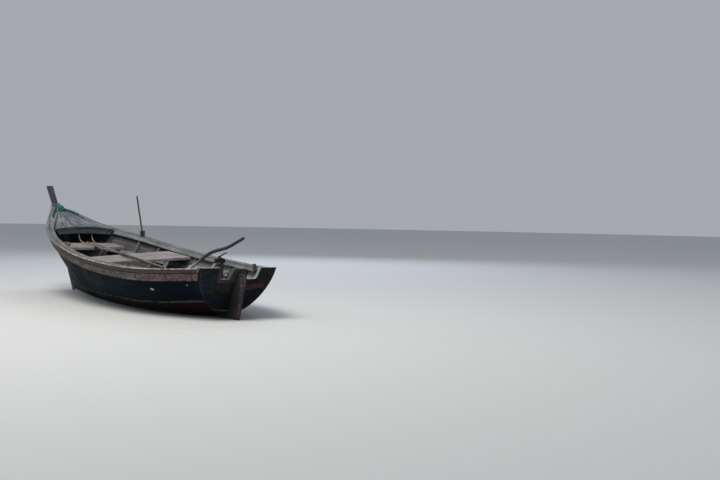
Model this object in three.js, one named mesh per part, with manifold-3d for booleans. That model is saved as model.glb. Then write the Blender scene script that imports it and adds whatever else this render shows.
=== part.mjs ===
// An open wooden working boat, six metres long and built plank on frame: keel, deadwood and posts, ten
// sawn frames, five strakes a side, wales and double rails, a half foredeck, a bow thwart, two wide thwart
// boards, and a transom with a raised pad between two notches. Three ropes and a coil lie in the bow.
// Millimetres. +X runs to the bow, +Y to port, +Z up. z = 0 is the waterline.
import * as THREE from "three";
import Module from "manifold-3d";
import { mergeVertices } from "three/addons/utils/BufferGeometryUtils.js";

const wasm = await Module();
wasm.setup();

// Driving dimensions
const STERN_X = -3000; // distances along the boat are counted from here, just aft of the waterline's end
const TRANSOM_FOOT = 275; // transom's inner face at the waterline
const RAKE_AFT = 0.57; // the transom leans aft by this much for each unit of height
const TRANSOM_ROUND = 30; // its edges at the rails stand this far forward of a flat board
const STEM_RAKE = 0.762; // the stem leans forward by this much for each unit of height
const FOREFOOT = 4765; // rabbet's forward end at the keel
const SIDED = 60; // width of keel, deadwood and stem
const PLANK = 18; // thickness of the planking
const FRAME_SIDED = 32;
const FRAME_MOULDED = 40;
const GAP = 0.5; // clearance between neighbouring timbers
const KEEL_BOTTOM = -255;
const KEEL_TOP = -150; // straight top of the keel, under the deadwood
const TRANSOM_THICK = 57;

// Hull sections from the transom (t = 0) to the stem (t = 1).
// Columns: t, half breadth of the planking at the rail, height of the rail, height of the rabbet, fullness
const STATIONS = [
  [0.0, 446, 552, 50, 1.75],
  [0.154, 765, 516, -60, 1.68],
  [0.31, 860, 540, -160, 1.55],
  [0.515, 823, 630, -200, 1.45],
  [0.72, 647, 790, -195, 1.36],
  [0.875, 367, 945, -172, 1.25],
  [1.0, 31, 1190, -130, 1.12],
].map(([t, half, rail, rabbet, fullness]) => ({ t, half, rail, rabbet, fullness }));
const FIRST = STATIONS[0];
const LAST = STATIONS[STATIONS.length - 1];

// Strakes from the rabbet up. Columns: name, lower edge, upper edge, as shares of the girth angle
const STRAKES = [
  ["garboard", 0.0, 0.26],
  ["bottom_strake", 0.26, 0.46],
  ["bilge_strake", 0.46, 0.64],
  ["side_strake", 0.64, 0.82],
  ["sheer_strake", 0.82, 1.0],
];
const SEAM = 0.001; // half the seam between two strakes, in radians of the girth angle
const LENGTHWISE = 24; // facets along a strake

// Frames: distance of each
const FRAME_AT = [410, 800, 1240, 1690, 2160, 2640, 3110, 3580, 4050, 4650];
const FLOOR_SHARE = 0.24; // the floor timber is flat out to this share of the girth angle

// Long timbers along the sides. Columns: name, top and bottom below the rail,
// near and far face from the planking's outer face (negative is outside), first and last t
const INNER = PLANK + GAP + FRAME_MOULDED + 2; // inboard face of the frames, with clearance
const BANDS = [
  ["outwale", 0, 36, -1.5, -28, 0.0006, 0.994],
  ["wale", 42, 120, -2.5, -22, 0.0006, 0.99],
  ["inwale", 1, 70, INNER, INNER + 22, 0.0006, 0.952],
];

// Riser that carries the thwarts. Columns: distance, height of its top
const RISER = [
  [600, 392],
  [2600, 452],
  [3250, 494],
  [4280, 589],
  [4580, 641],
];
const RISER_DEEP = 55;
const RISER_THICK = 20;
const RISER_FACE = INNER + 2;

const material = (color, roughness = 0.85, metalness = 0) =>
  new THREE.MeshStandardMaterial({ color, roughness, metalness });
const BOTTOM_PAINT = material("#141d24");
const WEATHERED = material("#8a8078");
const PALE_WOOD = material("#a79c90");
const DARK_WOOD = material("#3b3a38");
const TRANSOM_PAINT = material("#20262a");
const RED_WOOD = material("#4c2f2c");
const DARK_IRON = material("#2b3036", 0.6, 0.6);
const TEAL_ROPE = material("#1f8f8f", 0.9);
const PALE_ROPE = material("#b9b2a4", 0.95);

const boat = new THREE.Group();
boat.name = "boat";
boat.position.x = STERN_X;

function add(name, geometry, finish) {
  const mesh = new THREE.Mesh(geometry, finish);
  mesh.name = name;
  boat.add(mesh);
  return mesh;
}

// Both sides of the boat: a builder takes +1 for port and -1 for starboard.
function bothSides(name, build, finish) {
  add(name + "_port", build(1), finish);
  add(name + "_starboard", build(-1), finish);
}

// A fair curve through one column of the station table: cubic pieces whose slopes are the mean of the
// slopes on both sides.
function fair(column, t) {
  const last = STATIONS.length - 1;
  const slope = (i) =>
    (STATIONS[i + 1][column] - STATIONS[i][column]) / (STATIONS[i + 1].t - STATIONS[i].t);
  const tangent = (i) => {
    if (i === 0) return 1.5 * slope(0) - 0.25 * (slope(0) + slope(1));
    if (i === last) return 1.5 * slope(last - 1) - 0.25 * (slope(last - 1) + slope(last - 2));
    return (slope(i - 1) + slope(i)) / 2;
  };
  let i = 0;
  while (i < last - 1 && t > STATIONS[i + 1].t) i++;
  const width = STATIONS[i + 1].t - STATIONS[i].t;
  const u = (t - STATIONS[i].t) / width;
  const v = 1 - u;
  return (
    v * v * (1 + 2 * u) * STATIONS[i][column] +
    u * u * (1 + 2 * v) * STATIONS[i + 1][column] +
    u * v * (v * tangent(i) - u * tangent(i + 1)) * width
  );
}

const transomX = (z) => TRANSOM_FOOT - RAKE_AFT * z;
const stemX = (z) => FOREFOOT + STEM_RAKE * (z - LAST.rabbet);
const lerp = THREE.MathUtils.lerp;

const QUARTER = Math.PI / 2;

// A point of the fair port side: t runs from transom to stem, angle from 0 at the rabbet to a quarter
// turn at the rail, and inward is the depth below the outer face. A section is a superellipse quarter.
function fairSkin(t, angle, inward) {
  const power = 2 / fair("fullness", t);
  const breadth = fair("half", t) - SIDED / 2;
  const rabbet = fair("rabbet", t);
  const height = fair("rail", t) - rabbet;
  const share = 1 - Math.cos(angle) ** power;
  const outY = SIDED / 2 + breadth * Math.sin(angle) ** power;
  const slopeY = breadth * Math.max(Math.cos(angle), 0) ** (2 - power);
  const slopeZ = height * Math.sin(angle) ** (2 - power);
  const length = Math.hypot(slopeY, slopeZ);
  const lowX = lerp(transomX(FIRST.rabbet), FOREFOOT, t);
  const highX = lerp(transomX(FIRST.rail), stemX(LAST.rail), t) + TRANSOM_ROUND * (1 - t) ** 8;
  return new THREE.Vector3(
    lerp(lowX, highX, share),
    outY - (inward * slopeZ) / length,
    rabbet + height * share + (inward * slopeY) / length,
  );
}

// The same point on the planking as built, flat between the strakes' edges, their middles and stations.
const GIRTH = STRAKES.flatMap(([, low, high]) => [low, (low + high) / 2]).concat(1);
const corners = new Map();
function cornerOf(i, j, inward) {
  const key = i + "/" + j + "/" + inward;
  if (!corners.has(key)) corners.set(key, fairSkin(i / LENGTHWISE, GIRTH[j] * QUARTER, inward));
  return corners.get(key);
}
function skin(t, angle, inward) {
  const i = Math.min(Math.floor(t * LENGTHWISE), LENGTHWISE - 1);
  const share = angle / QUARTER;
  let j = 0;
  while (j < GIRTH.length - 2 && share > GIRTH[j + 1]) j++;
  const u = t * LENGTHWISE - i;
  const v = (share - GIRTH[j]) / (GIRTH[j + 1] - GIRTH[j]);
  const low = cornerOf(i, j, inward).clone().lerp(cornerOf(i + 1, j, inward), u);
  const high = cornerOf(i, j + 1, inward).clone().lerp(cornerOf(i + 1, j + 1, inward), u);
  return low.lerp(high, v);
}

// The value between low and high where a rising function reaches a target.
function solve(rising, target, low, high) {
  for (let i = 0; i < 26; i++) {
    const middle = (low + high) / 2;
    if (rising(middle) < target) low = middle;
    else high = middle;
  }
  return (low + high) / 2;
}

// The planking at height z, for one t.
function skinAtHeight(t, z, inward) {
  const angle = solve((a) => skin(t, a, 0).z, z, 0, QUARTER);
  return skin(t, angle, inward);
}

// The planking at a distance x from the transom, for one angle.
function skinAtX(x, angle, inward) {
  const t = solve((s) => skin(s, angle, inward).x, x, 0, 1);
  return skin(t, angle, inward);
}

// Half the inside width at distance x and height z, at a depth inward from the outer face.
function halfWidth(x, z, inward) {
  const angle = solve((a) => skinAtX(x, a, inward).z, z, 0, QUARTER);
  return skinAtX(x, angle, inward).y;
}

const railAt = (x) => skinAtX(x, QUARTER, 0).z;
const rabbetAt = (x) => fair("rabbet", (x - transomX(FIRST.rabbet)) / (FOREFOOT - transomX(FIRST.rabbet)));
const floorAt = (x) => skinAtX(x, FLOOR_SHARE * QUARTER, PLANK + GAP + FRAME_MOULDED).z;
const mirrored = (p, side) => new THREE.Vector3(p.x, p.y * side, p.z);
const range = (count) => Array.from({ length: count + 1 }, (_, i) => i / count);

// Triangles that close a ring of points, wound as the ring is.
function capOf(ring) {
  const normal = new THREE.Vector3();
  ring.forEach((p, i) => {
    const q = ring[(i + 1) % ring.length];
    normal.x += (p.y - q.y) * (p.z + q.z);
    normal.y += (p.z - q.z) * (p.x + q.x);
    normal.z += (p.x - q.x) * (p.y + q.y);
  });
  normal.normalize();
  const along = new THREE.Vector3(normal.z, normal.x, normal.y).cross(normal).normalize();
  const across = normal.clone().cross(along);
  const flat = ring.map((p) => new THREE.Vector2(p.dot(along), p.dot(across)));
  const faces = THREE.ShapeUtils.triangulateShape(flat, []);
  const area = ([a, b, c]) => THREE.ShapeUtils.area([flat[a], flat[b], flat[c]]);
  return faces.map((f) => (area(f) > 0 ? f : [f[0], f[2], f[1]]));
}

// A solid through a row of rings that all have the same number of points.
function loft(rings) {
  const count = rings[0].length;
  const points = rings.flat();
  const faces = [];
  for (let i = 0; i < rings.length - 1; i++) {
    for (let j = 0; j < count; j++) {
      const a = i * count + j;
      const b = i * count + ((j + 1) % count);
      faces.push([a, b, b + count], [a, b + count, a + count]);
    }
  }
  const end = points.length - count;
  capOf(rings[0]).forEach(([a, b, c]) => faces.push([a, c, b]));
  capOf(rings[rings.length - 1]).forEach(([a, b, c]) => faces.push([end + a, end + b, end + c]));
  const volume = faces.reduce(
    (sum, [a, b, c]) => sum + points[a].dot(points[b].clone().cross(points[c])),
    0,
  );
  const index = faces.flatMap(([a, b, c]) => (volume > 0 ? [a, b, c] : [a, c, b]));
  const geometry = new THREE.BufferGeometry();
  geometry.setAttribute(
    "position",
    new THREE.Float32BufferAttribute(points.flatMap((p) => [p.x, p.y, p.z]), 3),
  );
  geometry.setIndex(index);
  return geometry;
}

// A flat piece seen from the side, given as [x, z] points, between two values of y.
function sidePiece(outline, y0, y1) {
  return loft([y0, y1].map((y) => outline.map(([x, z]) => new THREE.Vector3(x, y, z))));
}

// A round rod through a list of points, with a radius for each.
function rod(points, radii, sides = 12) {
  const rings = points.map((p, i) => {
    const before = points[Math.max(i - 1, 0)];
    const after = points[Math.min(i + 1, points.length - 1)];
    const along = after.clone().sub(before).normalize();
    const up = Math.abs(along.z) < 0.9 ? new THREE.Vector3(0, 0, 1) : new THREE.Vector3(1, 0, 0);
    const right = up.cross(along).normalize();
    const over = along.clone().cross(right);
    return range(sides)
      .slice(0, sides)
      .map((turn) => {
        const a = turn * 2 * Math.PI;
        return p
          .clone()
          .addScaledVector(right, radii[i] * Math.cos(a))
          .addScaledVector(over, radii[i] * Math.sin(a));
      });
  });
  return loft(rings);
}

function solidOf(geometry) {
  const plain = new THREE.BufferGeometry();
  plain.setAttribute("position", geometry.getAttribute("position"));
  plain.setIndex(geometry.index);
  const merged = mergeVertices(plain, 1e-4);
  return new wasm.Manifold(
    new wasm.Mesh({
      numProp: 3,
      vertProperties: new Float32Array(merged.attributes.position.array),
      triVerts: new Uint32Array(merged.index.array),
    }),
  );
}

function geometryOf(solid) {
  const mesh = solid.getMesh();
  const geometry = new THREE.BufferGeometry();
  geometry.setAttribute("position", new THREE.BufferAttribute(mesh.vertProperties, mesh.numProp));
  geometry.setIndex(new THREE.BufferAttribute(mesh.triVerts, 1));
  return geometry;
}

// Keel: straight timber whose top follows the rabbet forward of the deadwood, and rises at the forefoot.
const SCARF_X = 4710; // joint of keel and stem
const KEEL_HALF = SIDED / 2 - GAP;
const SEAT = PLANK - GAP; // the keel's top stands this far above the rabbet amidships
const seatAt = (x) =>
  rabbetAt(x) + lerp(SEAT, -GAP, THREE.MathUtils.smoothstep(x, 2900, 3400));

function keel() {
  const aft = 1830;
  const top = range(12)
    .map((u) => lerp(SCARF_X, aft, u))
    .map((x) => [x, Math.min(seatAt(x), KEEL_TOP)]);
  return sidePiece(
    [
      [transomX(KEEL_BOTTOM) - TRANSOM_THICK - GAP, KEEL_BOTTOM],
      [4230, KEEL_BOTTOM],
      [4490, KEEL_BOTTOM + 12],
      [SCARF_X, KEEL_BOTTOM + 42],
      ...top,
      [transomX(KEEL_TOP) - TRANSOM_THICK - GAP, KEEL_TOP],
    ],
    -KEEL_HALF,
    KEEL_HALF,
  );
}
add("keel", keel(), DARK_WOOD);

// Deadwood: fills between the keel and the rising garboards aft, and ends at the sternpost.
function deadwood() {
  const low = KEEL_TOP + GAP;
  const end = solve((x) => -seatAt(x), -low - 4, 600, 2400);
  const top = range(9)
    .map((u) => lerp(end, transomX(FIRST.rabbet) + 2, u))
    .map((x) => [x, seatAt(x)]);
  const under = FIRST.rabbet - GAP;
  return sidePiece(
    [
      [transomX(low) - TRANSOM_THICK - GAP, low],
      [end, low],
      ...top,
      [transomX(FIRST.rabbet) + 2, under],
      [transomX(under) - TRANSOM_THICK - GAP, under],
    ],
    -KEEL_HALF,
    KEEL_HALF,
  );
}
add("deadwood", deadwood(), DARK_WOOD);

// Stem: raked timber from the scarf to a head that stands above the rails.
const STEM_DEEP = 115;
function stem() {
  const aft = (z) => stemX(z) + GAP;
  return sidePiece(
    [
      [SCARF_X + GAP, KEEL_BOTTOM + 42],
      [4810, -190],
      [4850, -158],
      [aft(-100) + STEM_DEEP, -100],
      [aft(LAST.rail) + STEM_DEEP, LAST.rail],
      [6012, 1325],
      [6156, 1470],
      [6151, 1482],
      [6040, 1489],
      [6026, 1485],
      [5896, 1338],
      [aft(LAST.rail), LAST.rail],
      [aft(LAST.rabbet), LAST.rabbet - GAP],
      [SCARF_X + GAP, rabbetAt(SCARF_X) - GAP],
    ],
    -SIDED / 2,
    SIDED / 2,
  );
}
add("stem", stem(), DARK_WOOD);

// Sternpost: a wedge that fills out the raked transom's after face to a nearly upright edge, with a stepped
// head.
// Columns: height, half width, distance of its after face
const POST_SECTIONS = [
  [KEEL_BOTTOM, 17, -5],
  [0, 18, -56],
  [360, 31, -138],
  [452, 34, -155],
  [470, 34, -141],
  [505, 33, -144],
];
function sternpost() {
  return loft(
    POST_SECTIONS.map(([z, half, aft]) => {
      const fore = transomX(z) - TRANSOM_THICK - 2 * GAP;
      return [
        new THREE.Vector3(fore, half, z),
        new THREE.Vector3(aft, half, z),
        new THREE.Vector3(aft, -half, z),
        new THREE.Vector3(fore, -half, z),
      ];
    }),
  );
}
add("sternpost", sternpost(), RED_WOOD);

// Transom: one thick board to the hull's own outline, with two notches beside a raised centre pad.
// Columns of its upper edge, from the centre line out: y, z
const TRANSOM_TOP = [
  [0, 558],
  [58, 558],
  [76, 552],
  [101, 450],
  [114, 442],
  [206, 445],
  [226, 460],
  [243, 570],
  [440, 568],
];
const transomTop = (y) => {
  let i = 0;
  while (i < TRANSOM_TOP.length - 2 && y > TRANSOM_TOP[i + 1][0]) i++;
  const [[y0, z0], [y1, z1]] = [TRANSOM_TOP[i], TRANSOM_TOP[i + 1]];
  return lerp(z0, z1, Math.min((y - y0) / (y1 - y0), 1));
};
// The transom's lower edge and its round, at a distance y from the centre line.
function transomEdge(y) {
  const p = skin(0, solve((a) => skin(0, a, 0).y, Math.max(y, SIDED / 2), 0, QUARTER), 0);
  return { low: p.z, round: p.x - transomX(p.z) };
}
function transom() {
  const edge = GIRTH.map((share) => skin(0, share * QUARTER, 0).y);
  const half = [0, ...edge, ...TRANSOM_TOP.map(([y]) => y).slice(1)].sort((a, b) => a - b);
  const columns = [...half.slice(1).map((y) => -y).reverse(), ...half];
  return loft(
    columns.map((y) => {
      const { low, round } = transomEdge(Math.abs(y));
      const high = transomTop(Math.abs(y));
      const corner = (z, back) => new THREE.Vector3(transomX(z) + round - back, y, z);
      return [corner(low, GAP), corner(high, GAP), corner(high, TRANSOM_THICK), corner(low, TRANSOM_THICK)];
    }),
  );
}
add("transom", transom(), TRANSOM_PAINT);

// Planking: each strake is a bent board between two seams, from the transom to the stem.
function strake(low, high, side) {
  const start = low === 0 ? 0 : low * QUARTER + SEAM;
  const stop = high === 1 ? QUARTER : high * QUARTER - SEAM;
  const angles = [start, ((low + high) / 2) * QUARTER, stop];
  return loft(
    range(LENGTHWISE).map((t) => [
      ...angles.map((a) => mirrored(skin(t, a, 0), side)),
      ...angles.map((a) => mirrored(skin(t, a, PLANK), side)).reverse(),
    ]),
  );
}
for (const [name, low, high] of STRAKES) {
  bothSides(name, (side) => strake(low, high, side), BOTTOM_PAINT);
}

// Outwale, wale and inwale: long timbers that follow the rail. The outwale has a thin lip that covers the
// planking's edge and the frames' heads as far as the foredeck, and it runs on beside the stem.
const LIP = { top: 13, under: 1, reach: 83, narrowFrom: 0.88, narrowTo: 0.95, lowFrom: 0.955, lowTo: 0.99 };
const OUTWALE_END = { x: 5860, near: 31.5, far: 60, top: 1182, under: 1170, bottom: 1140 };
function outwaleRing(t, side, [, , bottom, near, far]) {
  const rail = skin(t, QUARTER, 0);
  const reach = lerp(LIP.reach, near + 0.5, THREE.MathUtils.smoothstep(t, LIP.narrowFrom, LIP.narrowTo));
  const drop = LIP.top * THREE.MathUtils.smoothstep(t, LIP.lowFrom, LIP.lowTo);
  const above = (height, inward) => new THREE.Vector3(rail.x, side * (rail.y - inward), rail.z + height);
  const below = (inward) => mirrored(skinAtHeight(t, rail.z - bottom, inward), side);
  return [
    above(LIP.top - drop, far),
    above(LIP.top - drop, reach),
    above(LIP.under - drop, reach),
    above(LIP.under - drop, near),
    below(near),
    below(far),
  ];
}
function band(row, side) {
  const [name, top, bottom, near, far, first, last] = row;
  const between = range(LENGTHWISE).filter((t) => t > first + 0.004 && t < last - 0.004);
  const stops = [first, ...between, last];
  if (name === "outwale") {
    const end = OUTWALE_END;
    const corner = (y, z) => new THREE.Vector3(end.x, side * y, z);
    return loft([
      ...stops.map((t) => outwaleRing(t, side, row)),
      [
        corner(end.far, end.top),
        corner(end.near, end.top),
        corner(end.near, end.under),
        corner(end.near + 0.5, end.under - 2),
        corner(end.near + 0.5, end.bottom),
        corner(end.far, end.bottom),
      ],
    ]);
  }
  return loft(
    stops.map((t) => {
      const rail = skin(t, QUARTER, 0).z;
      const corner = (down, inward) => mirrored(skinAtHeight(t, rail - down, inward), side);
      return [corner(top, near), corner(top, far), corner(bottom, far), corner(bottom, near)];
    }),
  );
}
for (const row of BANDS) bothSides(row[0], (side) => band(row, side), WEATHERED);

// Riser: carries the ends of the thwarts.
function riserTop(x) {
  let i = 0;
  while (i < RISER.length - 2 && x > RISER[i + 1][0]) i++;
  const [x0, z0] = RISER[i];
  const [x1, z1] = RISER[i + 1];
  return lerp(z0, z1, (x - x0) / (x1 - x0));
}
function riser(side) {
  const stops = RISER.slice(1).flatMap(([x], i) =>
    range(4).slice(0, 4).map((u) => lerp(RISER[i][0], x, u)),
  );
  stops.push(RISER[RISER.length - 1][0]);
  return loft(
    stops.map((x) => {
      const top = riserTop(x);
      const corner = (z, inward) => new THREE.Vector3(x, side * halfWidth(x, z, inward), z);
      return [
        corner(top, RISER_FACE),
        corner(top, RISER_FACE + RISER_THICK),
        corner(top - RISER_DEEP, RISER_FACE + RISER_THICK),
        corner(top - RISER_DEEP, RISER_FACE),
      ];
    }),
  );
}
bothSides("riser", riser, WEATHERED);

const FRAME_CLEAR = 2.5; // between the planking's inner face and a frame
const FLOOR_HALF = 45; // least half width of a floor timber's flat top
const FLOOR_TAPER = 0.7; // across a floor timber, its top runs to this share of its underside's y

// Height of a floor timber's flat top.
function floorTop(x) {
  const inner = PLANK + GAP + FRAME_MOULDED;
  const wideEnough = skinAtX(x, solve((a) => skinAtX(x, a, inner).y, FLOOR_HALF, 0, QUARTER), inner).z;
  return Math.max(floorAt(x), wideEnough);
}

// Frames: floor timber and futtocks as one bent timber from rail to rail, flat across the floor.
function frame(x) {
  const [outer, inner] = [PLANK + FRAME_CLEAR, PLANK + GAP + FRAME_MOULDED];
  const top = solve((a) => skinAtX(x, a, PLANK).z, railAt(x) - 6, 0, QUARTER);
  const floor = floorTop(x);
  const ring = (angle, side) => {
    const pair = (at) => {
      const low = skinAtX(at, angle, outer);
      const high = skinAtX(at, angle, inner);
      high.z = Math.max(high.z, floor);
      high.y = Math.max(high.y, low.y * FLOOR_TAPER);
      return [mirrored(low, side), mirrored(high, side)];
    };
    const [aftLow, aftHigh] = pair(x - FRAME_SIDED / 2);
    const [foreLow, foreHigh] = pair(x + FRAME_SIDED / 2);
    return [aftLow, aftHigh, foreHigh, foreLow];
  };
  const shares = [...GIRTH, FLOOR_SHARE].sort((a, b) => b - a);
  const angles = [top, ...shares.map((s) => s * QUARTER).filter((a) => a > 0.1 && a < top - 0.02)];
  return loft([...angles.map((a) => ring(a, 1)), ...angles.map((a) => ring(a, -1)).reverse()]);
}
FRAME_AT.forEach((x, i) => add("frame_" + (i + 1), frame(x), WEATHERED));

// Breasthook: ties the two sides together behind the stem.
function breasthook() {
  return loft(
    range(3).map((u) => {
      const t = lerp(0.968, 0.993, u);
      const rail = skin(t, QUARTER, 0).z;
      const corner = (down, side) => mirrored(skinAtHeight(t, rail - down, PLANK + 2), side);
      return [corner(40, 1), corner(40, -1), corner(80, -1), corner(80, 1)];
    }),
  );
}
add("breasthook", breasthook(), WEATHERED);

// Quarter knees: brace the transom against the inwales.
function quarterKnee(side) {
  const [low, high] = [FIRST.rail - 48, FIRST.rail - 12];
  const clear = INNER + 22 + GAP;
  const aft = transomX(low) + 2;
  const [outer, inner] = [halfWidth(aft + 90, low, clear) - 38, halfWidth(aft + 90, low, clear) - 166];
  const corners = [
    [aft + transomEdge(outer).round, outer],
    [aft + 230, halfWidth(aft + 230, low, clear) - 9],
    [aft + 212, halfWidth(aft + 212, low, clear) - 34],
    [aft + 62, inner + 16],
    [aft + transomEdge(inner).round, inner],
  ];
  return loft([low, high].map((z) => corners.map(([x, y]) => new THREE.Vector3(x, side * y, z))));
}
bothSides("quarter_knee", quarterKnee, DARK_WOOD);

// Foredeck: a cambered beam between the rails and three boards from it to the breasthook.
const BEAM_X = 4590;
const BEAM_THICK = 42;
const DECK_THICK = 22;
const DECK_END = 5465;
const DECK_RISE = 18; // of the deck's sides above the rails
const CAMBER = 38;
const deckHalf = (x) => halfWidth(x, railAt(x) - 30, INNER + 24);
const deckTop = (x, y) => {
  const across = y / deckHalf(x);
  return railAt(x) + DECK_RISE + CAMBER * (deckHalf(x) / deckHalf(BEAM_X)) * (1 - across * across);
};
function foredeckBeam() {
  const highReach = deckHalf(BEAM_X + BEAM_THICK) - 1;
  const lowReach = halfWidth(BEAM_X + BEAM_THICK, railAt(BEAM_X) - 90, INNER + 24);
  return loft(
    range(8).map((u) => {
      const across = lerp(1, -1, u);
      const y = highReach * across;
      const top = Math.min(deckTop(BEAM_X, y), deckTop(BEAM_X + BEAM_THICK, y)) - DECK_THICK - 2;
      const low = railAt(BEAM_X) - 44 - 16 * across * across;
      return [
        new THREE.Vector3(BEAM_X, y, top),
        new THREE.Vector3(BEAM_X + BEAM_THICK, y, top),
        new THREE.Vector3(BEAM_X + BEAM_THICK, lowReach * across, low),
        new THREE.Vector3(BEAM_X, lowReach * across, low),
      ];
    }),
  );
}
add("foredeck_beam", foredeckBeam(), DARK_WOOD);

function deckBoard(from, to) {
  const start = BEAM_X - 8;
  return loft(
    range(8).map((u) => {
      const x = lerp(start, DECK_END, u);
      const across = range(2).map((v) => lerp(from, to, v) * deckHalf(x) - Math.sign(from + to) * 0.3);
      return [
        ...across.map((y) => new THREE.Vector3(x, y, deckTop(x, y))),
        ...across.map((y) => new THREE.Vector3(x, y, deckTop(x, y) - DECK_THICK)).reverse(),
      ];
    }),
  );
}
add("foredeck_board_port", deckBoard(0.35, 1), PALE_WOOD);
add("foredeck_board_centre", deckBoard(-0.345, 0.345), PALE_WOOD);
add("foredeck_board_starboard", deckBoard(-1, -0.35), PALE_WOOD);

// Bow thwart: one board across the risers just aft of the foredeck, sloped with the sheer.
const BOW_THWART = { aft: 4280, fore: 4562, thick: 42 };
function slopedBoard(corners, thick) {
  const ring = (up) => corners.map(([x, y, z]) => new THREE.Vector3(x, y, z + up));
  return loft([ring(0), ring(thick)]);
}
const bowTop = (x) => riserTop(x) + GAP + BOW_THWART.thick;
function bowThwart() {
  const edge = range(2).map((u) => lerp(BOW_THWART.aft, BOW_THWART.fore, u));
  const reach = (x) => halfWidth(x, riserTop(x), PLANK + GAP + 8);
  const port = edge.map((x) => [x, reach(x), riserTop(x) + GAP]);
  return slopedBoard([...port, ...port.map(([x, y, z]) => [x, -y, z]).reverse()], BOW_THWART.thick);
}
add("bow_thwart", bowThwart(), WEATHERED);

// Thwart: two wide boards side by side across the boat. The port ends rest on the riser and the starboard
// ends on a chock, so the boards slope down to port.
// Columns: name, after edge, forward edge
const THWARTS = [
  ["thwart_board_aft", 2662, 2936],
  ["thwart_board_fore", 2942, 3216],
];
const THWART_THICK = 36;
const chockHigh = (x) => lerp(66, 92, (x - THWARTS[0][1]) / (THWARTS[1][2] - THWARTS[0][1]));
const thwartTop = (x, y) => riserTop(x) + 2 * GAP + THWART_THICK + (chockHigh(x) / 2) * (1 - y / 715);
function thwart([, aft, fore]) {
  const reach = (x) => halfWidth(x, riserTop(x), INNER + 2) - 2;
  return loft(
    range(4).map((u) =>
      [
        [aft, 0],
        [fore, 0],
        [fore, 1],
        [aft, 1],
      ].map(([x, up]) => {
        const y = lerp(-reach(x), reach(x), u);
        return new THREE.Vector3(x, y, thwartTop(x, y) - THWART_THICK * (1 - up));
      }),
    ),
  );
}
for (const row of THWARTS) add(row[0], thwart(row), PALE_WOOD);

// Chock: packing between the starboard riser and the thwart's ends.
function thwartChock() {
  const [aft, fore] = [THWARTS[0][1] + 12, THWARTS[1][2] - 12];
  return loft(
    [aft, (aft + fore) / 2, fore].map((x) => {
      const low = riserTop(x) + GAP;
      const out = halfWidth(x, riserTop(x), INNER + 3);
      const high = (y) => thwartTop(x, -y) - THWART_THICK - 2;
      const inner = out - 38;
      return [
        new THREE.Vector3(x, -out, low),
        new THREE.Vector3(x, -inner, low),
        new THREE.Vector3(x, -inner, high(inner)),
        new THREE.Vector3(x, -out, high(out - 4)),
      ];
    }),
  );
}
add("thwart_chock", thwartChock(), DARK_WOOD);

// Stanchion: a slanting prop under the thwart's after edge, standing on the floorboards.
const FLOORBOARD_THICK = 18;
const STANCHION_HALF = 24;
function stanchion() {
  const [x, footY, headY] = [FRAME_AT[5] + 42, -100, -392];
  const foot = new THREE.Vector3(x, footY, floorAt(FRAME_AT[5]) + 6 + FLOORBOARD_THICK);
  const head = new THREE.Vector3(x, headY, thwartTop(x, headY + STANCHION_HALF) - THWART_THICK - 3);
  const ring = (p) =>
    [
      [-14, -STANCHION_HALF],
      [14, -STANCHION_HALF],
      [14, STANCHION_HALF],
      [-14, STANCHION_HALF],
    ].map(([dx, dy]) => new THREE.Vector3(p.x + dx, p.y + dy, p.z));
  return loft([ring(foot), ring(head)]);
}
add("thwart_stanchion", stanchion(), PALE_WOOD);

// Floorboards: three boards laid along the flat floors of the frames.
// Columns: name, edges as shares of the flat floor's half width
const FLOORBOARDS = [
  ["floorboard_port", 0.36, 0.94],
  ["floorboard_centre", -0.33, 0.33],
  ["floorboard_starboard", -0.94, -0.36],
];
function floorboard([, from, to]) {
  const stops = FRAME_AT.slice(2, 8);
  const [first, last] = [stops[0], stops[stops.length - 1]];
  return loft(
    [first - 40, first + 20, ...stops.slice(1, -1), last - 20, last + 40].map((x) => {
      const z = floorTop(THREE.MathUtils.clamp(x, first, last)) + 4.5;
      const flat = skinAtX(x, FLOOR_SHARE * QUARTER, INNER).y;
      return [
        new THREE.Vector3(x, from * flat, z),
        new THREE.Vector3(x, to * flat, z),
        new THREE.Vector3(x, to * flat, z + FLOORBOARD_THICK),
        new THREE.Vector3(x, from * flat, z + FLOORBOARD_THICK),
      ];
    }),
  );
}
for (const row of FLOORBOARDS) add(row[0], floorboard(row), DARK_WOOD);

// Pole block: a square block on the starboard rail with a leaning socket, and the thin pole in it.
const POLE_X = 4032;
const POLE_R = 12;
const POLE_LEAN = new THREE.Vector3(0.139, 0.115, 1).normalize();
const poleFoot = new THREE.Vector3(POLE_X - 4, -skinAtX(POLE_X, QUARTER, 0).y + 45, railAt(POLE_X) + 38);
const poleAt = (along) => poleFoot.clone().addScaledVector(POLE_LEAN, along);
const BLOCK_HALF = 25;
const BLOCK_HIGH = 74;
function poleBlock() {
  const y = poleFoot.y;
  const base = railAt(POLE_X + BLOCK_HALF) + 16;
  const ring = (z) =>
    [
      [-BLOCK_HALF, -BLOCK_HALF],
      [BLOCK_HALF, -BLOCK_HALF],
      [BLOCK_HALF, BLOCK_HALF],
      [-BLOCK_HALF, BLOCK_HALF],
    ].map(([dx, dy]) => new THREE.Vector3(POLE_X + dx, y + dy, z));
  const block = solidOf(loft([ring(base), ring(base + BLOCK_HIGH)]));
  const socket = solidOf(rod([poleAt(0), poleAt(120)], [POLE_R + 1.5, POLE_R + 1.5], 16));
  return geometryOf(block.subtract(socket));
}
add("pole_block", poleBlock(), DARK_WOOD);
add("pole", rod([poleAt(2), poleAt(300), poleAt(545)], [POLE_R, POLE_R, POLE_R - 2]), RED_WOOD);

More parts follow.
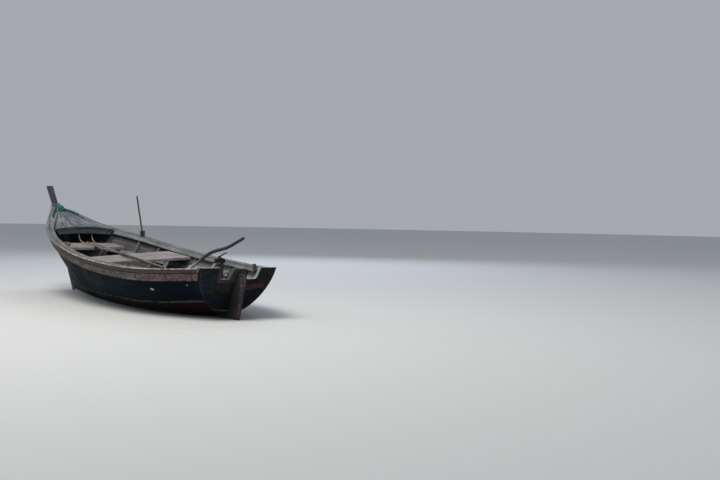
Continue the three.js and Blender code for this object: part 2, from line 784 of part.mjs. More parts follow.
// Stern trestle: a post on the first frame's floor, a slanting brace, and a cross block with a lever.
const TRESTLE_X = FRAME_AT[0];
const TRESTLE_TOP = 598;
const CROSS_HALF = 62;
function trestlePost() {
  const ring = (z) =>
    [
      [-14, -15],
      [14, -15],
      [14, 15],
      [-14, 15],
    ].map(([dx, dy]) => new THREE.Vector3(TRESTLE_X + dx, dy - 26, z));
  return loft([ring(floorAt(TRESTLE_X) + 1), ring(TRESTLE_TOP)]);
}
add("trestle_post", trestlePost(), WEATHERED);

function trestleBrace() {
  const ring = (y, z) =>
    [
      [-11, -12],
      [11, -12],
      [11, 12],
      [-11, 12],
    ].map(([dx, dy]) => new THREE.Vector3(TRESTLE_X + dx, y + dy, z));
  return loft([ring(44, TRESTLE_TOP), ring(308, 245)]);
}
add("trestle_brace", trestleBrace(), PALE_WOOD);

function crossBlock() {
  const ring = (y) =>
    [
      [-26, 0],
      [26, 0],
      [26, 46],
      [14, 56],
      [-14, 56],
      [-26, 46],
    ].map(([dx, dz]) => new THREE.Vector3(TRESTLE_X + dx, y, TRESTLE_TOP + GAP + dz));
  return loft([ring(-CROSS_HALF), ring(CROSS_HALF)]);
}
add("trestle_cross_block", crossBlock(), RED_WOOD);

function trestleLever() {
  const base = new THREE.Vector3(TRESTLE_X, 4, TRESTLE_TOP + 57);
  const collar = solidOf(rod([base, base.clone().setZ(base.z + 20)], [19, 15], 14));
  const root = new THREE.Vector3(TRESTLE_X - 4, 4, base.z + 10);
  const tip = new THREE.Vector3(TRESTLE_X - 118, -26, base.z + 58);
  return geometryOf(collar.add(solidOf(rod([root, tip], [8, 6.5], 10))));
}
add("trestle_lever", trestleLever(), DARK_IRON);

// Bent bar: a natural crook fixed to the port inwale, rising aft over the middle of the transom.
// Columns: distance from the transom, y, z, radius
const BENT_BAR = [
  [322, 462, 475, 16],
  [318, 430, 526, 16],
  [314, 388, 562, 17],
  [310, 318, 608, 17],
  [308, 262, 650, 18],
  [302, 205, 694, 19],
  [290, 125, 731, 19],
  [248, 60, 755, 19],
  [192, 5, 781, 18],
  [100, -40, 832, 17],
  [8, -86, 884, 15],
];
function bentBar() {
  const points = BENT_BAR.map(([x, y, z]) => new THREE.Vector3(x, y, z));
  return rod(points, BENT_BAR.map((row) => row[3]));
}
add("bent_bar", bentBar(), DARK_IRON);

// Oar: laid along the boat on the bow thwart's after edge and on the thwart, blade forward.
const OAR_R = 17;
const BLADE = { wide: 52, thick: 10, roll: 0.17 };
const OAR_TIP = { x: 4300, y: -52 };
const OAR_REST = { x: 3216, y: 38 }; // on the thwart's forward edge
const OAR_LENGTH = 2800;
const oarTip = new THREE.Vector3(
  OAR_TIP.x,
  OAR_TIP.y,
  bowTop(OAR_TIP.x) + BLADE.wide * Math.sin(BLADE.roll) + BLADE.thick + 3,
);
const oarRest = new THREE.Vector3(OAR_REST.x, OAR_REST.y, thwartTop(OAR_REST.x, OAR_REST.y) + OAR_R + 3);
// Columns: distance from the tip, half width, half thickness
const OAR_SECTIONS = [
  [0, 34, 5],
  [60, 48, 8],
  [420, BLADE.wide, BLADE.thick],
  [700, 44, 12],
  [1000, 19, 16],
  [1080, OAR_R, OAR_R],
  [OAR_LENGTH - 140, OAR_R, OAR_R],
  [OAR_LENGTH - 110, 14, 14],
  [OAR_LENGTH, 13, 13],
];
function oar() {
  const along = oarRest.clone().sub(oarTip).normalize();
  const across = new THREE.Vector3(-along.y, along.x, 0).normalize();
  const over = across.clone().cross(along).normalize();
  if (over.z < 0) over.negate();
  const [c, s] = [Math.cos(BLADE.roll), Math.sin(BLADE.roll)];
  const wideAxis = across.clone().multiplyScalar(c).addScaledVector(over, s);
  const thickAxis = over.clone().multiplyScalar(c).addScaledVector(across, -s);
  return loft(
    OAR_SECTIONS.map(([distance, wide, thick]) =>
      range(10)
        .slice(0, 10)
        .map((turn) => {
          const a = turn * 2 * Math.PI;
          return oarTip
            .clone()
            .addScaledVector(along, distance)
            .addScaledVector(wideAxis, wide * Math.cos(a))
            .addScaledVector(thickAxis, thick * Math.sin(a));
        }),
    ),
  );
}
add("oar", oar(), PALE_WOOD);

// Ropes: a tube along a smooth curve through points chosen by hand.
function rope(points, radius, steps) {
  const curve = new THREE.CatmullRomCurve3(
    points.map(([x, y, z]) => new THREE.Vector3(x, y, z)),
    false,
    "catmullrom",
    0.5,
  );
  const circle = new THREE.Shape(
    range(8)
      .slice(0, 8)
      .map((turn) => new THREE.Vector2(radius, 0).rotateAround(new THREE.Vector2(), turn * 2 * Math.PI)),
  );
  return new THREE.ExtrudeGeometry(circle, { steps, extrudePath: curve, bevelEnabled: false });
}

// Bow rope: a tail along the starboard rail, a knot behind the stem, one turn round the stem above the
// rails, and a tail that hangs between the breasthook and the foredeck. Columns: distance, y, z
const BOW_ROPE_R = 9;
const BOW_TAIL = [
  [5400, -203, 1079],
  [5440, -184, 1093],
  [5500, -153, 1114],
  [5560, -118, 1132],
  [5602, -84, 1144],
  [5622, -60, 1147],
];
const KNOT = { from: [5628, -22, 1157], to: [5684, -14, 1171], radius: 33, turns: 2.25, points: 18 };
const knot = range(KNOT.points).map((u) => {
  const angle = Math.PI * (1 - 2 * KNOT.turns * u);
  const [x, y, z] = KNOT.from.map((start, i) => lerp(start, KNOT.to[i], u));
  return [x, y + KNOT.radius * Math.cos(angle), z + KNOT.radius * Math.sin(angle)];
});
const STEM_TURN = [
  [5730, 20, 1202],
  [5772, 40, 1199],
  [5810, 46, 1198],
  [5832, 46, 1198],
  [5890, 44, 1199],
  [5916, 32, 1199],
  [5924, 0, 1200],
  [5916, -32, 1201],
  [5890, -45, 1202],
  [5832, -46, 1202],
  [5791, -42, 1203],
  [5764, -34, 1216],
  [5732, -8, 1226],
  [5694, 18, 1224],
  [5650, 34, 1196],
  [5614, 43, 1160],
  [5580, 50, 1130],
  [5545, 55, 1106],
  [5513, 57, 1076],
  [5500, 55, 1040],
  [5497, 50, 1004],
];
const BOW_ROPE = [...BOW_TAIL, ...knot, ...STEM_TURN];
add("bow_rope", rope(BOW_ROPE, BOW_ROPE_R, 80), TEAL_ROPE);

// Hanging ropes: tied round the foredeck's beam, down to the bow thwart. One makes a loop there and runs
// aft to the oar's blade, and the other ends beside it. Columns: distance, y, z
const HANG_ROPE_R = 7;
const HANGING_ROPE = [
  [4611, 78, 810],
  [4611, 78, 794],
  [4606, 76, 765],
  [4594, 70, 735],
  [4576, 60, 707],
  [4550, 46, 690],
  [4522, 30, 683],
  [4490, 12, 677],
  [4460, -12, 671],
  [4444, -46, 668],
  [4460, -80, 671],
  [4496, -92, 677],
  [4528, -76, 683],
  [4536, -42, 688],
  [4516, -14, 695],
  [4482, 8, 693],
  [4446, 20, 676],
  [4406, 12, 662],
  [4372, -20, 656],
  [4346, -58, 651],
  [4334, -84, 649],
];
const HANGING_END = [
  [4611, -108, 809],
  [4611, -108, 794],
  [4606, -110, 764],
  [4594, -114, 734],
  [4572, -120, 703],
  [4544, -126, 688],
  [4512, -132, 681],
  [4480, -132, 675],
  [4456, -124, 671],
];
add("hanging_rope", rope(HANGING_ROPE, HANG_ROPE_R, 56), PALE_ROPE);
add("hanging_rope_end", rope(HANGING_END, HANG_ROPE_R, 20), PALE_ROPE);

// Rope coil: on the port end of the bow thwart.
const COIL = { x: 4430, y: 335, mid: 58, half: 14, high: 30 };
function ropeCoil() {
  const profile = [
    [COIL.mid - COIL.half, 0],
    [COIL.mid + COIL.half, 0],
    [COIL.mid + COIL.half, COIL.high],
    [COIL.mid - COIL.half, COIL.high],
    [COIL.mid - COIL.half, 0],
  ].map(([r, z]) => new THREE.Vector2(r, z));
  const ring = new THREE.LatheGeometry(profile, 24);
  ring.rotateX(Math.PI / 2);
  const slope = Math.atan2(
    bowTop(BOW_THWART.fore) - bowTop(BOW_THWART.aft),
    BOW_THWART.fore - BOW_THWART.aft,
  );
  ring.rotateY(-slope);
  ring.translate(COIL.x, COIL.y, bowTop(COIL.x) + 2);
  return geometryOf(solidOf(ring));
}
add("rope_coil", ropeCoil(), PALE_ROPE);

export default boat;
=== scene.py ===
import math

import bpy
import numpy as np
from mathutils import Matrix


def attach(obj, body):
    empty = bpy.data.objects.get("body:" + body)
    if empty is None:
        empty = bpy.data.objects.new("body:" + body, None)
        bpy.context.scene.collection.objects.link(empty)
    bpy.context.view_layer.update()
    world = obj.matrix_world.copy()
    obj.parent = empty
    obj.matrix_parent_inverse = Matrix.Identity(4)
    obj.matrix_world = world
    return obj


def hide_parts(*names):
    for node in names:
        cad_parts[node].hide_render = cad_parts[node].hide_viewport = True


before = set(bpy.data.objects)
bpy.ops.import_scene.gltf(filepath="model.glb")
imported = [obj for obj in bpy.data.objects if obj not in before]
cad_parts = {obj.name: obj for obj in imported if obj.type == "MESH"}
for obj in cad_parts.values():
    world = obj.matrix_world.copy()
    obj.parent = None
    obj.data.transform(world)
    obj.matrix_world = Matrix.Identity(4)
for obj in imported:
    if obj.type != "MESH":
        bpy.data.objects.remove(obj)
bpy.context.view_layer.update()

# Camera: it stands low, behind the boat's port quarter, and looks forward along the port side with a long
# lens. All places are in metres in the boat's own frame: +X to the bow, +Y to port, z = 0 at the waterline.
VIEW_FROM = (-14.2921, 5.9024, 1.2102)
YAW, PITCH, ROLL = -0.5855, -0.0255, 0.0181
LENS_MM = 58.87

ahead = np.array([math.cos(PITCH) * math.cos(YAW), math.cos(PITCH) * math.sin(YAW), math.sin(PITCH)])
level = np.array([math.sin(YAW), -math.cos(YAW), 0.0])
over = np.cross(level, ahead)
right = math.cos(ROLL) * level + math.sin(ROLL) * over
upward = -math.sin(ROLL) * level + math.cos(ROLL) * over
camera = bpy.data.objects.new("camera", bpy.data.cameras.new("camera"))
camera.data.lens = LENS_MM
camera.data.sensor_width = 36
camera.data.clip_end = 200
turned = np.eye(4)
turned[:3, :3] = np.stack([right, upward, -ahead], 1)
turned[:3, 3] = VIEW_FROM
camera.matrix_world = turned.T.tolist()
bpy.context.scene.collection.objects.link(camera)
bpy.context.scene.camera = camera


# Bow rope: a faded teal three-strand synthetic rope. It comes up the starboard rail to a knot behind the
# stem, takes one turn round the stem above the rails, and its end hangs between breasthook and foredeck.
def linear(colour):
    """An sRGB hex colour as linear red, green, blue and alpha 1."""
    share = np.array([int(colour[i : i + 2], 16) / 255 for i in (1, 3, 5)])
    lin = np.where(share <= 0.04045, share / 12.92, ((share + 0.055) / 1.055) ** 2.4)
    return (*lin.tolist(), 1.0)


def plug(tree, node, sockets):
    """Sets each socket to a value or an sRGB hex colour, or links it to another node's output."""
    for name, value in sockets.items():
        if isinstance(value, bpy.types.NodeSocket):
            tree.links.new(value, node.inputs[name])
        else:
            node.inputs[name].default_value = linear(value) if isinstance(value, str) else value


def add(tree, kind, sockets=None, out=0, stops=(), **settings):
    """Adds a node with its properties and sockets, and gives one of its outputs, by name or number, or a
    slice of them. Stops are the (place, sRGB hex colour) pairs of a colour ramp."""
    made = tree.nodes.new("ShaderNode" + kind)
    for name, value in settings.items():
        setattr(made, name, value)
    plug(tree, made, sockets or {})
    if stops:
        elements = made.color_ramp.elements
        while len(elements) < len(stops):
            elements.new(0.5)
        for element, (place, colour) in zip(elements, stops):
            element.position = place
            element.color = linear(colour)
    return made.outputs[out]


def new_material(name):
    """An empty material; gives it, its tree and the Object coordinates."""
    material = bpy.data.materials.new(name)
    material.use_nodes = True
    return material, material.node_tree, add(material.node_tree, "TexCoord", out="Object")


def surfaced(material, colour, height, strength, deep_mm, sockets):
    """Gives the material's shader its colour, the relief of a height pattern and its other sockets."""
    tree = material.node_tree
    relief = add(tree, "Bump", {"Height": height, "Strength": strength, "Distance": deep_mm / 1000})
    plug(tree, tree.nodes["Principled BSDF"], {"Base Color": colour, "Normal": relief, **sockets})
    return material


def rope_fibre(name, deep, bright, strand_mm):
    """Laid rope: twisted yarns in fine slanting lines, with painted shade between the strands, and matt.
    The dirt lies in patches of 45 mm."""
    material, tree, spot = new_material(name)
    uv = add(tree, "UVMap", uv_map="grain")
    yarns = add(tree, "Mapping", {"Vector": uv, "Scale": (1000 / strand_mm, 9, 1)})
    # The dark parts of these slanting lines are painted shade between the strands.
    lines = add(tree, "TexNoise", {"Vector": yarns, "Scale": 1.6, "Detail": 3.0})
    dirt = add(tree, "TexNoise", {"Vector": spot, "Scale": 1000 / 45, "Detail": 3.0})
    both = add(tree, "Math", {0: lines, 1: dirt}, operation="MULTIPLY")
    tone = add(tree, "ValToRGB", {"Fac": both}, stops=[(0.12, deep), (0.36, bright)])
    return surfaced(material, tone, lines, 0.5, 1.0, {"Roughness": 0.88})


teal_rope = rope_fibre("teal_polypropylene_rope", "#12484c", "#3f9c9c", 4)
pale_rope = rope_fibre("dry_natural_fibre_rope", "#5a4f4d", "#b7a9a4", 5)
grey_rope = rope_fibre("dirty_grey_cord", "#35363a", "#8b8d90", 4)


def smooth_path(points, per_span):
    """A Catmull-Rom curve: each span is a cubic whose slope at a point is half the step between its
    neighbours. The ends take a mirrored neighbour."""
    p = np.asarray(points, float)
    p = np.vstack([2 * p[0] - p[1], p, 2 * p[-1] - p[-2]])
    slope = (p[2:] - p[:-2]) / 2
    p = p[1:-1]
    u = (np.arange(per_span) / per_span)[None, :, None]
    a, b = p[:-1, None], p[1:, None]
    m, n = slope[:-1, None], slope[1:, None]
    line = (
        (2 * u**3 - 3 * u**2 + 1) * a
        + (u**3 - 2 * u**2 + u) * m
        + (3 * u**2 - 2 * u**3) * b
        + (u**3 - u**2) * n
    )
    return np.vstack([line.reshape(-1, 3), p[-1:]])


def run_along(path):
    """How far along the path each point lies: the sum of the steps before it."""
    return np.concatenate([[0], np.cumsum(np.linalg.norm(np.diff(path, axis=0), axis=1))])


def evenly(path, step):
    """The same path with points a fixed step apart."""
    run = run_along(path)
    stops = np.linspace(0, run[-1], max(int(run[-1] / step), 2) + 1)
    return np.stack([np.interp(stops, run, path[:, k]) for k in range(3)], 1)


def frames_along(path):
    """Two unit vectors square to the path at each point, carried along it so that they turn least."""
    along = np.gradient(path, axis=0)
    along /= np.linalg.norm(along, axis=1, keepdims=True)
    side = np.cross(along[0], [0.0, 0.0, 1.0] if abs(along[0, 2]) < 0.9 else [1.0, 0.0, 0.0])
    sides = [side / np.linalg.norm(side)]
    for direction in along[1:]:
        side = sides[-1] - direction * sides[-1].dot(direction)
        sides.append(side / np.linalg.norm(side))
    sides = np.array(sides)
    return sides, np.cross(along, sides)


def mesh_piece(name, points, faces, grain, finish, slot, body="root", stands_for=(), parts=None):
    """Makes a piece from points and faces. grain is the UV of each face corner, in metres along and across
    the fibre; parts gives each face's place in the finish list."""
    mesh = bpy.data.meshes.new(name)
    mesh.from_pydata(np.asarray(points).tolist(), [], [list(map(int, f)) for f in faces])
    layer = mesh.uv_layers.new(name="grain")
    layer.data.foreach_set("uv", np.asarray(grain, np.float32).ravel())
    for material in finish:
        mesh.materials.append(material)
    if parts is not None:
        mesh.polygons.foreach_set("material_index", np.asarray(parts, np.int32))
    mesh.polygons.foreach_set("use_smooth", np.ones(len(mesh.polygons), bool))
    mesh.set_sharp_from_angle(angle=math.radians(34))
    mesh.update()
    piece = bpy.data.objects.new(name, mesh)
    bpy.context.scene.collection.objects.link(piece)
    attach(piece, body)
    if stands_for:
        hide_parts(*stands_for)
    return piece


def ring_faces(rings, count):
    """Quads between neighbouring rings of so many points, as an array of corners."""
    i, j = np.meshgrid(np.arange(rings - 1), np.arange(count), indexing="ij")
    side = (j + 1) % count
    corners = [i * count + j, i * count + side, (i + 1) * count + side, (i + 1) * count + j]
    return np.stack(corners, -1).reshape(-1, 4)


def rope_mesh(name, path, radius, finish, **words):
    """A three-strand rope: a tube whose radius swells three times round, and the swellings turn once in a
    lay of 7 radii along it. It narrows at its two ends, which are flat."""
    sides = 15
    lay = 7 * radius
    side, up = frames_along(path)
    run = run_along(path)
    turn = np.arange(sides) * 2 * math.pi / sides
    phase = turn[None, :] - run[:, None] * 2 * math.pi / lay
    swell = radius * (0.84 + 0.16 * np.abs(np.cos(1.5 * phase)))
    swell[[0, -1]] *= 0.6
    ring = (
        path[:, None]
        + swell[..., None] * np.cos(turn)[None, :, None] * side[:, None]
        + swell[..., None] * np.sin(turn)[None, :, None] * up[:, None]
    )
    points = ring.reshape(-1, 3)
    quads = ring_faces(len(path), sides)
    last = (len(path) - 1) * sides
    caps = [list(range(sides))[::-1], [last + k for k in range(sides)]]
    i, j = quads[:, 0] // sides, quads[:, 0] % sides
    around = lambda jj: jj * 2 * math.pi * radius / sides
    twist = lambda ii, jj: np.stack([run[ii] - around(jj) * 0.9, around(jj)], -1)
    corners = np.stack([twist(i, j), twist(i, j + 1), twist(i + 1, j + 1), twist(i + 1, j)], 1)
    grain = np.concatenate([corners.reshape(-1, 2), np.zeros((2 * sides, 2))])
    return mesh_piece(name, points, quads.tolist() + caps, grain, [finish], **words)


def from_stern(rows):
    """Points given in millimetres counted from the stern's zero, in metres from amidships."""
    return np.asarray(rows, float) / 1000 - np.array([3.0, 0.0, 0.0])


BOW_ROPE_R = 0.009
ROPE_STEP, CORD_STEP = 0.003, 0.006
SPAN_POINTS = 12
BOW_TAIL = from_stern(
    [
        (5400, -203, 1079), (5440, -184, 1093), (5500, -153, 1114), (5560, -118, 1132), (5602, -84, 1144),
        (5622, -60, 1147),
    ]
)
KNOT_FROM, KNOT_TO = from_stern([(5628, -22, 1157), (5684, -14, 1171)])
KNOT_RADIUS, KNOT_TURNS, KNOT_POINTS = 0.033, 2.25, 19
STEM_TURN = from_stern(
    [
        (5730, 20, 1202), (5772, 40, 1199), (5810, 46, 1198), (5832, 46, 1198), (5890, 44, 1199),
        (5916, 32, 1199), (5924, 0, 1200), (5916, -32, 1201), (5890, -45, 1202), (5832, -46, 1202),
        (5791, -42, 1203), (5764, -34, 1216), (5732, -8, 1226), (5694, 18, 1224), (5650, 34, 1196),
        (5614, 43, 1160), (5580, 50, 1130), (5545, 55, 1106), (5513, 57, 1076), (5500, 55, 1040),
        (5497, 50, 1004),
    ]
)
u = np.linspace(0, 1, KNOT_POINTS)
knot_angle = math.pi * (1 - 2 * KNOT_TURNS * u)
knot = KNOT_FROM + (KNOT_TO - KNOT_FROM) * u[:, None]
knot[:, 1] += KNOT_RADIUS * np.cos(knot_angle)
knot[:, 2] += KNOT_RADIUS * np.sin(knot_angle)
bow_path = evenly(smooth_path(np.vstack([BOW_TAIL, knot, STEM_TURN]), SPAN_POINTS), ROPE_STEP)
bow_rope = rope_mesh(
    "bow_rope_laid", bow_path, BOW_ROPE_R, teal_rope, slot="teal_rope", stands_for=["bow_rope"]
)

# Hanging ropes: two ends of pale natural rope that hang from under the foredeck's beam. They come down to the
# bow thwart; one makes a loop there and runs aft to the oar's blade, and the other ends beside it.
HANG_R = 0.007
HANGING_ROPE = from_stern(
    [
        (4611, 78, 810), (4611, 78, 794), (4606, 76, 765), (4594, 70, 735), (4576, 60, 707),
        (4550, 46, 690), (4522, 30, 683), (4490, 12, 677), (4460, -12, 671), (4444, -46, 668),
        (4460, -80, 671), (4496, -92, 677), (4528, -76, 683), (4536, -42, 688), (4516, -14, 695),
        (4482, 8, 693), (4446, 20, 676), (4406, 12, 662), (4372, -20, 656), (4346, -58, 651),
        (4334, -84, 649),
    ]
)
HANGING_END = from_stern(
    [
        (4611, -108, 809), (4611, -108, 794), (4606, -110, 764), (4594, -114, 734), (4572, -120, 703),
        (4544, -126, 688), (4512, -132, 681), (4480, -132, 675), (4456, -124, 671),
    ]
)
for name, route in (("hanging_rope", HANGING_ROPE), ("hanging_rope_end", HANGING_END)):
    hang_path = evenly(smooth_path(route, SPAN_POINTS), ROPE_STEP)
    hanging = rope_mesh(name + "_laid", hang_path, HANG_R, pale_rope, slot="pale_rope", stands_for=[name])

# Rope coil: a small coil of thinner dirty grey cord on the port end of the bow thwart, three layers of turns
# that run outwards and back inwards, lying on the sloped board.
COIL_CENTRE = from_stern([(4430, 335, 0)])[0]
COIL_ROPE_R, COIL_PITCH, COIL_INNER = 0.0043, 0.0094, 0.0486
COIL_LAYERS, LAYER_TURNS, OUTWARD_TURNS, TURN_STEPS = 3, 2.5, 2, 72
BOW_THWART_AFT, BOW_THWART_FORE = 1.28, 1.562
RISER_TOPS = np.array([(-2.4, 0.392), (-0.4, 0.452), (0.25, 0.494), (1.28, 0.589), (1.58, 0.641)])
BOW_THWART_THICK, GAP = 0.042, 0.0005


def riser_top(x):
    """Height of the risers' upper edge: straight between the points of RISER_TOPS."""
    return np.interp(x, RISER_TOPS[:, 0], RISER_TOPS[:, 1])


def bow_thwart_top(x):
    """The riser's height, a gap and the board's thickness."""
    return riser_top(x) + GAP + BOW_THWART_THICK


def eased_step(v, low, high):
    """0 below low, 1 above high, and a smooth cubic between."""
    u = np.clip((v - low) / (high - low), 0, 1)
    return u * u * (3 - 2 * u)


coil_turns = LAYER_TURNS * COIL_LAYERS
turn = np.linspace(0, coil_turns, round(TURN_STEPS * coil_turns) + 1)
layer = np.minimum(turn // LAYER_TURNS, COIL_LAYERS - 1)
inside = turn - layer * LAYER_TURNS
spread = np.clip(inside, 0, OUTWARD_TURNS)
outwards = np.where(layer % 2 == 0, spread, OUTWARD_TURNS - spread)
lift = eased_step(inside, OUTWARD_TURNS, LAYER_TURNS) * (layer < COIL_LAYERS - 1)
board_rise = bow_thwart_top(BOW_THWART_FORE) - bow_thwart_top(BOW_THWART_AFT)
tilt = math.atan(board_rise / (BOW_THWART_FORE - BOW_THWART_AFT))
reach = COIL_INNER + COIL_PITCH * outwards
flat_x = reach * np.cos(2 * math.pi * turn)
flat_y = reach * np.sin(2 * math.pi * turn)
flat_z = COIL_ROPE_R + COIL_PITCH * (layer + lift)
coil_x = COIL_CENTRE[0] + flat_x * math.cos(tilt) - flat_z * math.sin(tilt)
coil_z = bow_thwart_top(COIL_CENTRE[0]) + 0.002 + flat_x * math.sin(tilt) + flat_z * math.cos(tilt)
coil_path = evenly(np.stack([coil_x, COIL_CENTRE[1] + flat_y, coil_z], 1), 0.0025)
rope_coil = rope_mesh(
    "rope_coil_laid", coil_path, COIL_ROPE_R, grey_rope, slot="pale_rope", stands_for=["rope_coil"]
)

# Planking: five carvel strakes a side, painted nearly black outside and bare inside, where painted shade and
# light lie on the planks. Their shape is a fair surface through seven sections; each is a quarter of a
# superellipse from rabbet to rail.
# Columns: share of the length, half breadth at the rail, height of the rail, height of the rabbet, fullness
STATIONS = np.array(
    [
        (0.0, 0.446, 0.552, 0.050, 1.75), (0.154, 0.765, 0.516, -0.060, 1.68),
        (0.31, 0.860, 0.540, -0.160, 1.55), (0.515, 0.823, 0.630, -0.200, 1.45),
        (0.72, 0.647, 0.790, -0.195, 1.36), (0.875, 0.367, 0.945, -0.172, 1.25),
        (1.0, 0.031, 1.190, -0.130, 1.12),
    ]
)
T, HALF, RAIL, RABBET, FULLNESS = range(5)
SIDED = 0.060
PLANK = 0.018
QUARTER = math.pi / 2
STEM_RAKE, TRANSOM_RAKE, TRANSOM_ROUND = 0.762, 0.57, 0.030
FOREFOOT_X = 1.765


def fair(column, t):
    """A fair curve through one column: cubic pieces whose slopes are the mean of those on both sides."""
    x, y = STATIONS[:, T], STATIONS[:, column]
    slope = np.diff(y) / np.diff(x)
    first = 1.25 * slope[0] - 0.25 * slope[1]
    last = 1.25 * slope[-1] - 0.25 * slope[-2]
    bend = np.concatenate([[first], (slope[:-1] + slope[1:]) / 2, [last]])
    i = np.clip(np.searchsorted(x, t, side="left") - 1, 0, len(x) - 2)
    width = x[i + 1] - x[i]
    u = (t - x[i]) / width
    v = 1 - u
    return (
        v * v * (1 + 2 * u) * y[i]
        + u * u * (1 + 2 * v) * y[i + 1]
        + u * v * (v * bend[i] - u * bend[i + 1]) * width
    )


def transom_x(z):
    """The transom's inner face: it leans aft with height."""
    return -2.725 - TRANSOM_RAKE * z


def stem_x(z):
    """The rabbet on the stem: it leans forward with height."""
    return FOREFOOT_X + STEM_RAKE * (z - STATIONS[-1, RABBET])


def skin(t, angle, inward=0.0):
    """A point of the port planking: t from transom to stem, angle from 0 at the rabbet to a quarter turn at
    the rail, inward the depth below the outer face."""
    t, angle, inward = np.broadcast_arrays(*(np.asarray(v, float) for v in (t, angle, inward)))
    power = 2 / fair(FULLNESS, t)
    breadth = fair(HALF, t) - SIDED / 2
    rabbet = fair(RABBET, t)
    height = fair(RAIL, t) - rabbet
    cosine = np.maximum(np.cos(angle), 1e-9)
    sine = np.sin(angle)
    share = 1 - cosine**power
    slope_y = breadth * cosine ** (2 - power)
    slope_z = height * sine ** (2 - power)
    size = np.hypot(slope_y, slope_z)
    low_x = transom_x(STATIONS[0, RABBET]) * (1 - t) + FOREFOOT_X * t
    high_x = transom_x(STATIONS[0, RAIL]) * (1 - t) + stem_x(STATIONS[-1, RAIL]) * t
    high_x = high_x + TRANSOM_ROUND * (1 - t) ** 8
    return np.stack(
        [
            low_x + (high_x - low_x) * share,
            SIDED / 2 + breadth * sine**power - inward * slope_z / size,
            rabbet + height * share + inward * slope_y / size,
        ],
        -1,
    )


def solve(rising, target, low, high, rounds=34):
    """Where a rising function reaches each target, by halving the range."""
    target = np.asarray(target, float)
    low = np.zeros_like(target) + low
    high = np.zeros_like(target) + high
    for _ in range(rounds):
        middle = (low + high) / 2
        under = rising(middle) < target
        low = np.where(under, middle, low)
        high = np.where(under, high, middle)
    return (low + high) / 2


def skin_at_height(t, z, inward):
    """A point of the planking at a share of the length, at the angle where it reaches a height."""
    return skin(t, solve(lambda a: skin(t, a)[..., 2], z, 0, QUARTER), inward)


def skin_at_x(x, angle, inward=0.0):
    """A point of the planking at an angle, at the share of the length where it reaches a distance."""
    x, angle, inward = np.broadcast_arrays(*(np.asarray(v, float) for v in (x, angle, inward)))
    return skin(solve(lambda s: skin(s, angle, inward)[..., 0], x, 0, 1), angle, inward)


def half_width(x, z, inward):
    """Half the inside width at a distance and height."""
    x, z = np.broadcast_arrays(np.asarray(x, float), np.asarray(z, float))
    angle = solve(lambda a: skin_at_x(x, a, inward)[..., 2], z, 0, QUARTER, 24)
    return skin_at_x(x, angle, inward)[..., 1]


def rail_at(x):
    """Height of the planking's upper edge."""
    return skin_at_x(x, QUARTER)[..., 2]


def turned_in(points, quads, ends):
    """True if the volume that closed faces take in, summed over fans of triangles from each face's first
    corner, comes out negative."""
    fans = [quads[:, [0, 1, 2]], quads[:, [0, 2, 3]]]
    fans += [[(end[0], end[k], end[k + 1]) for k in range(1, len(end) - 1)] for end in ends]
    a, b, c = points[np.concatenate(fans)].transpose(1, 0, 2)
    return (a * np.cross(b, c)).sum() < 0


def loft(name, rings, finish, parts=None, end_part=0, bevel=0.003, segments=2, shift=0.0, **words):
    """A timber through a row of rings of points: quads between the rings, a flat face at each end, and the
    long edges eased. The grain runs from ring to ring; parts gives a finish to each side of the ring."""
    rings = np.asarray(rings, float)
    count, sides = rings.shape[:2]
    run = run_along(rings.mean(1)) + shift
    step = np.linalg.norm(np.roll(rings, -1, 1) - rings, axis=2).mean(0)
    around = np.concatenate([[0], np.cumsum(step)])
    quads = ring_faces(count, sides)
    i, j = quads[:, 0] // sides, quads[:, 0] % sides
    place = lambda ii, jj: np.stack([run[ii], around[jj]], -1)
    corners = np.stack([place(i, j), place(i, j + 1), place(i + 1, j + 1), place(i + 1, j)], 1)
    last = (count - 1) * sides
    ends = [list(range(sides))[::-1], [last + k for k in range(sides)]]
    points = rings.reshape(-1, 3)
    ends_grain = []
    for end in ends:
        flat = points[end] - points[end].mean(0)
        plane = np.linalg.svd(flat, full_matrices=False)[2][:2]
        ends_grain.append(flat @ plane.T)
    faces = quads.tolist() + ends
    grain = [*corners, *ends_grain]
    if turned_in(points, quads, ends):
        faces = [f[::-1] for f in faces]
        grain = [g[::-1] for g in grain]
    face_parts = None
    if parts is not None:
        face_parts = np.concatenate([np.asarray(parts)[j], [end_part, end_part]])
    piece = mesh_piece(name, points, faces, np.concatenate(grain), finish, parts=face_parts, **words)
    if bevel:
        eased = piece.modifiers.new("eased_edges", "BEVEL")
        eased.width = bevel
        eased.segments = segments
        eased.limit_method = "ANGLE"
        eased.angle_limit = math.radians(40)
        eased.harden_normals = True
    return piece


def from_edges(*edges):
    """A timber's rings from the x, y and z of each of its long edges; a single number holds all along."""
    return np.stack([np.stack(np.broadcast_arrays(*edge), -1) for edge in edges], 1)


def port_and_starboard(name, rings, finish, **words):
    """The same timber on both sides, each standing for its own CAD node."""
    rings = np.asarray(rings, float)
    for suffix, sign in (("_port", 1), ("_starboard", -1)):
        loft(name + suffix + "_timber", rings * [1, sign, 1], finish, stands_for=[name + suffix], **words)


def grained(tree, uv, fibre_mm, broad_mm):
    """Two noises drawn out along the grain: fine fibre and broad streaks, each as wide as given."""
    noises = []
    for width, stretch, detail in ((fibre_mm, 40, 4.0), (broad_mm, 14, 3.0)):
        lanes = 1000 / width
        drawn = add(tree, "Mapping", {"Vector": uv, "Scale": (lanes / stretch, lanes, 1)})
        fibre = {"Vector": drawn, "Scale": 1.0, "Detail": detail, "Roughness": 0.6}
        noises.append(add(tree, "TexNoise", fibre))
    return noises


def together(tree, *parts):
    """The sum of patterns, each given with its weight."""
    total = 0.0
    for pattern, weight in parts:
        total = add(tree, "Math", {0: pattern, 1: weight, 2: total}, operation="MULTIPLY_ADD")
    return total


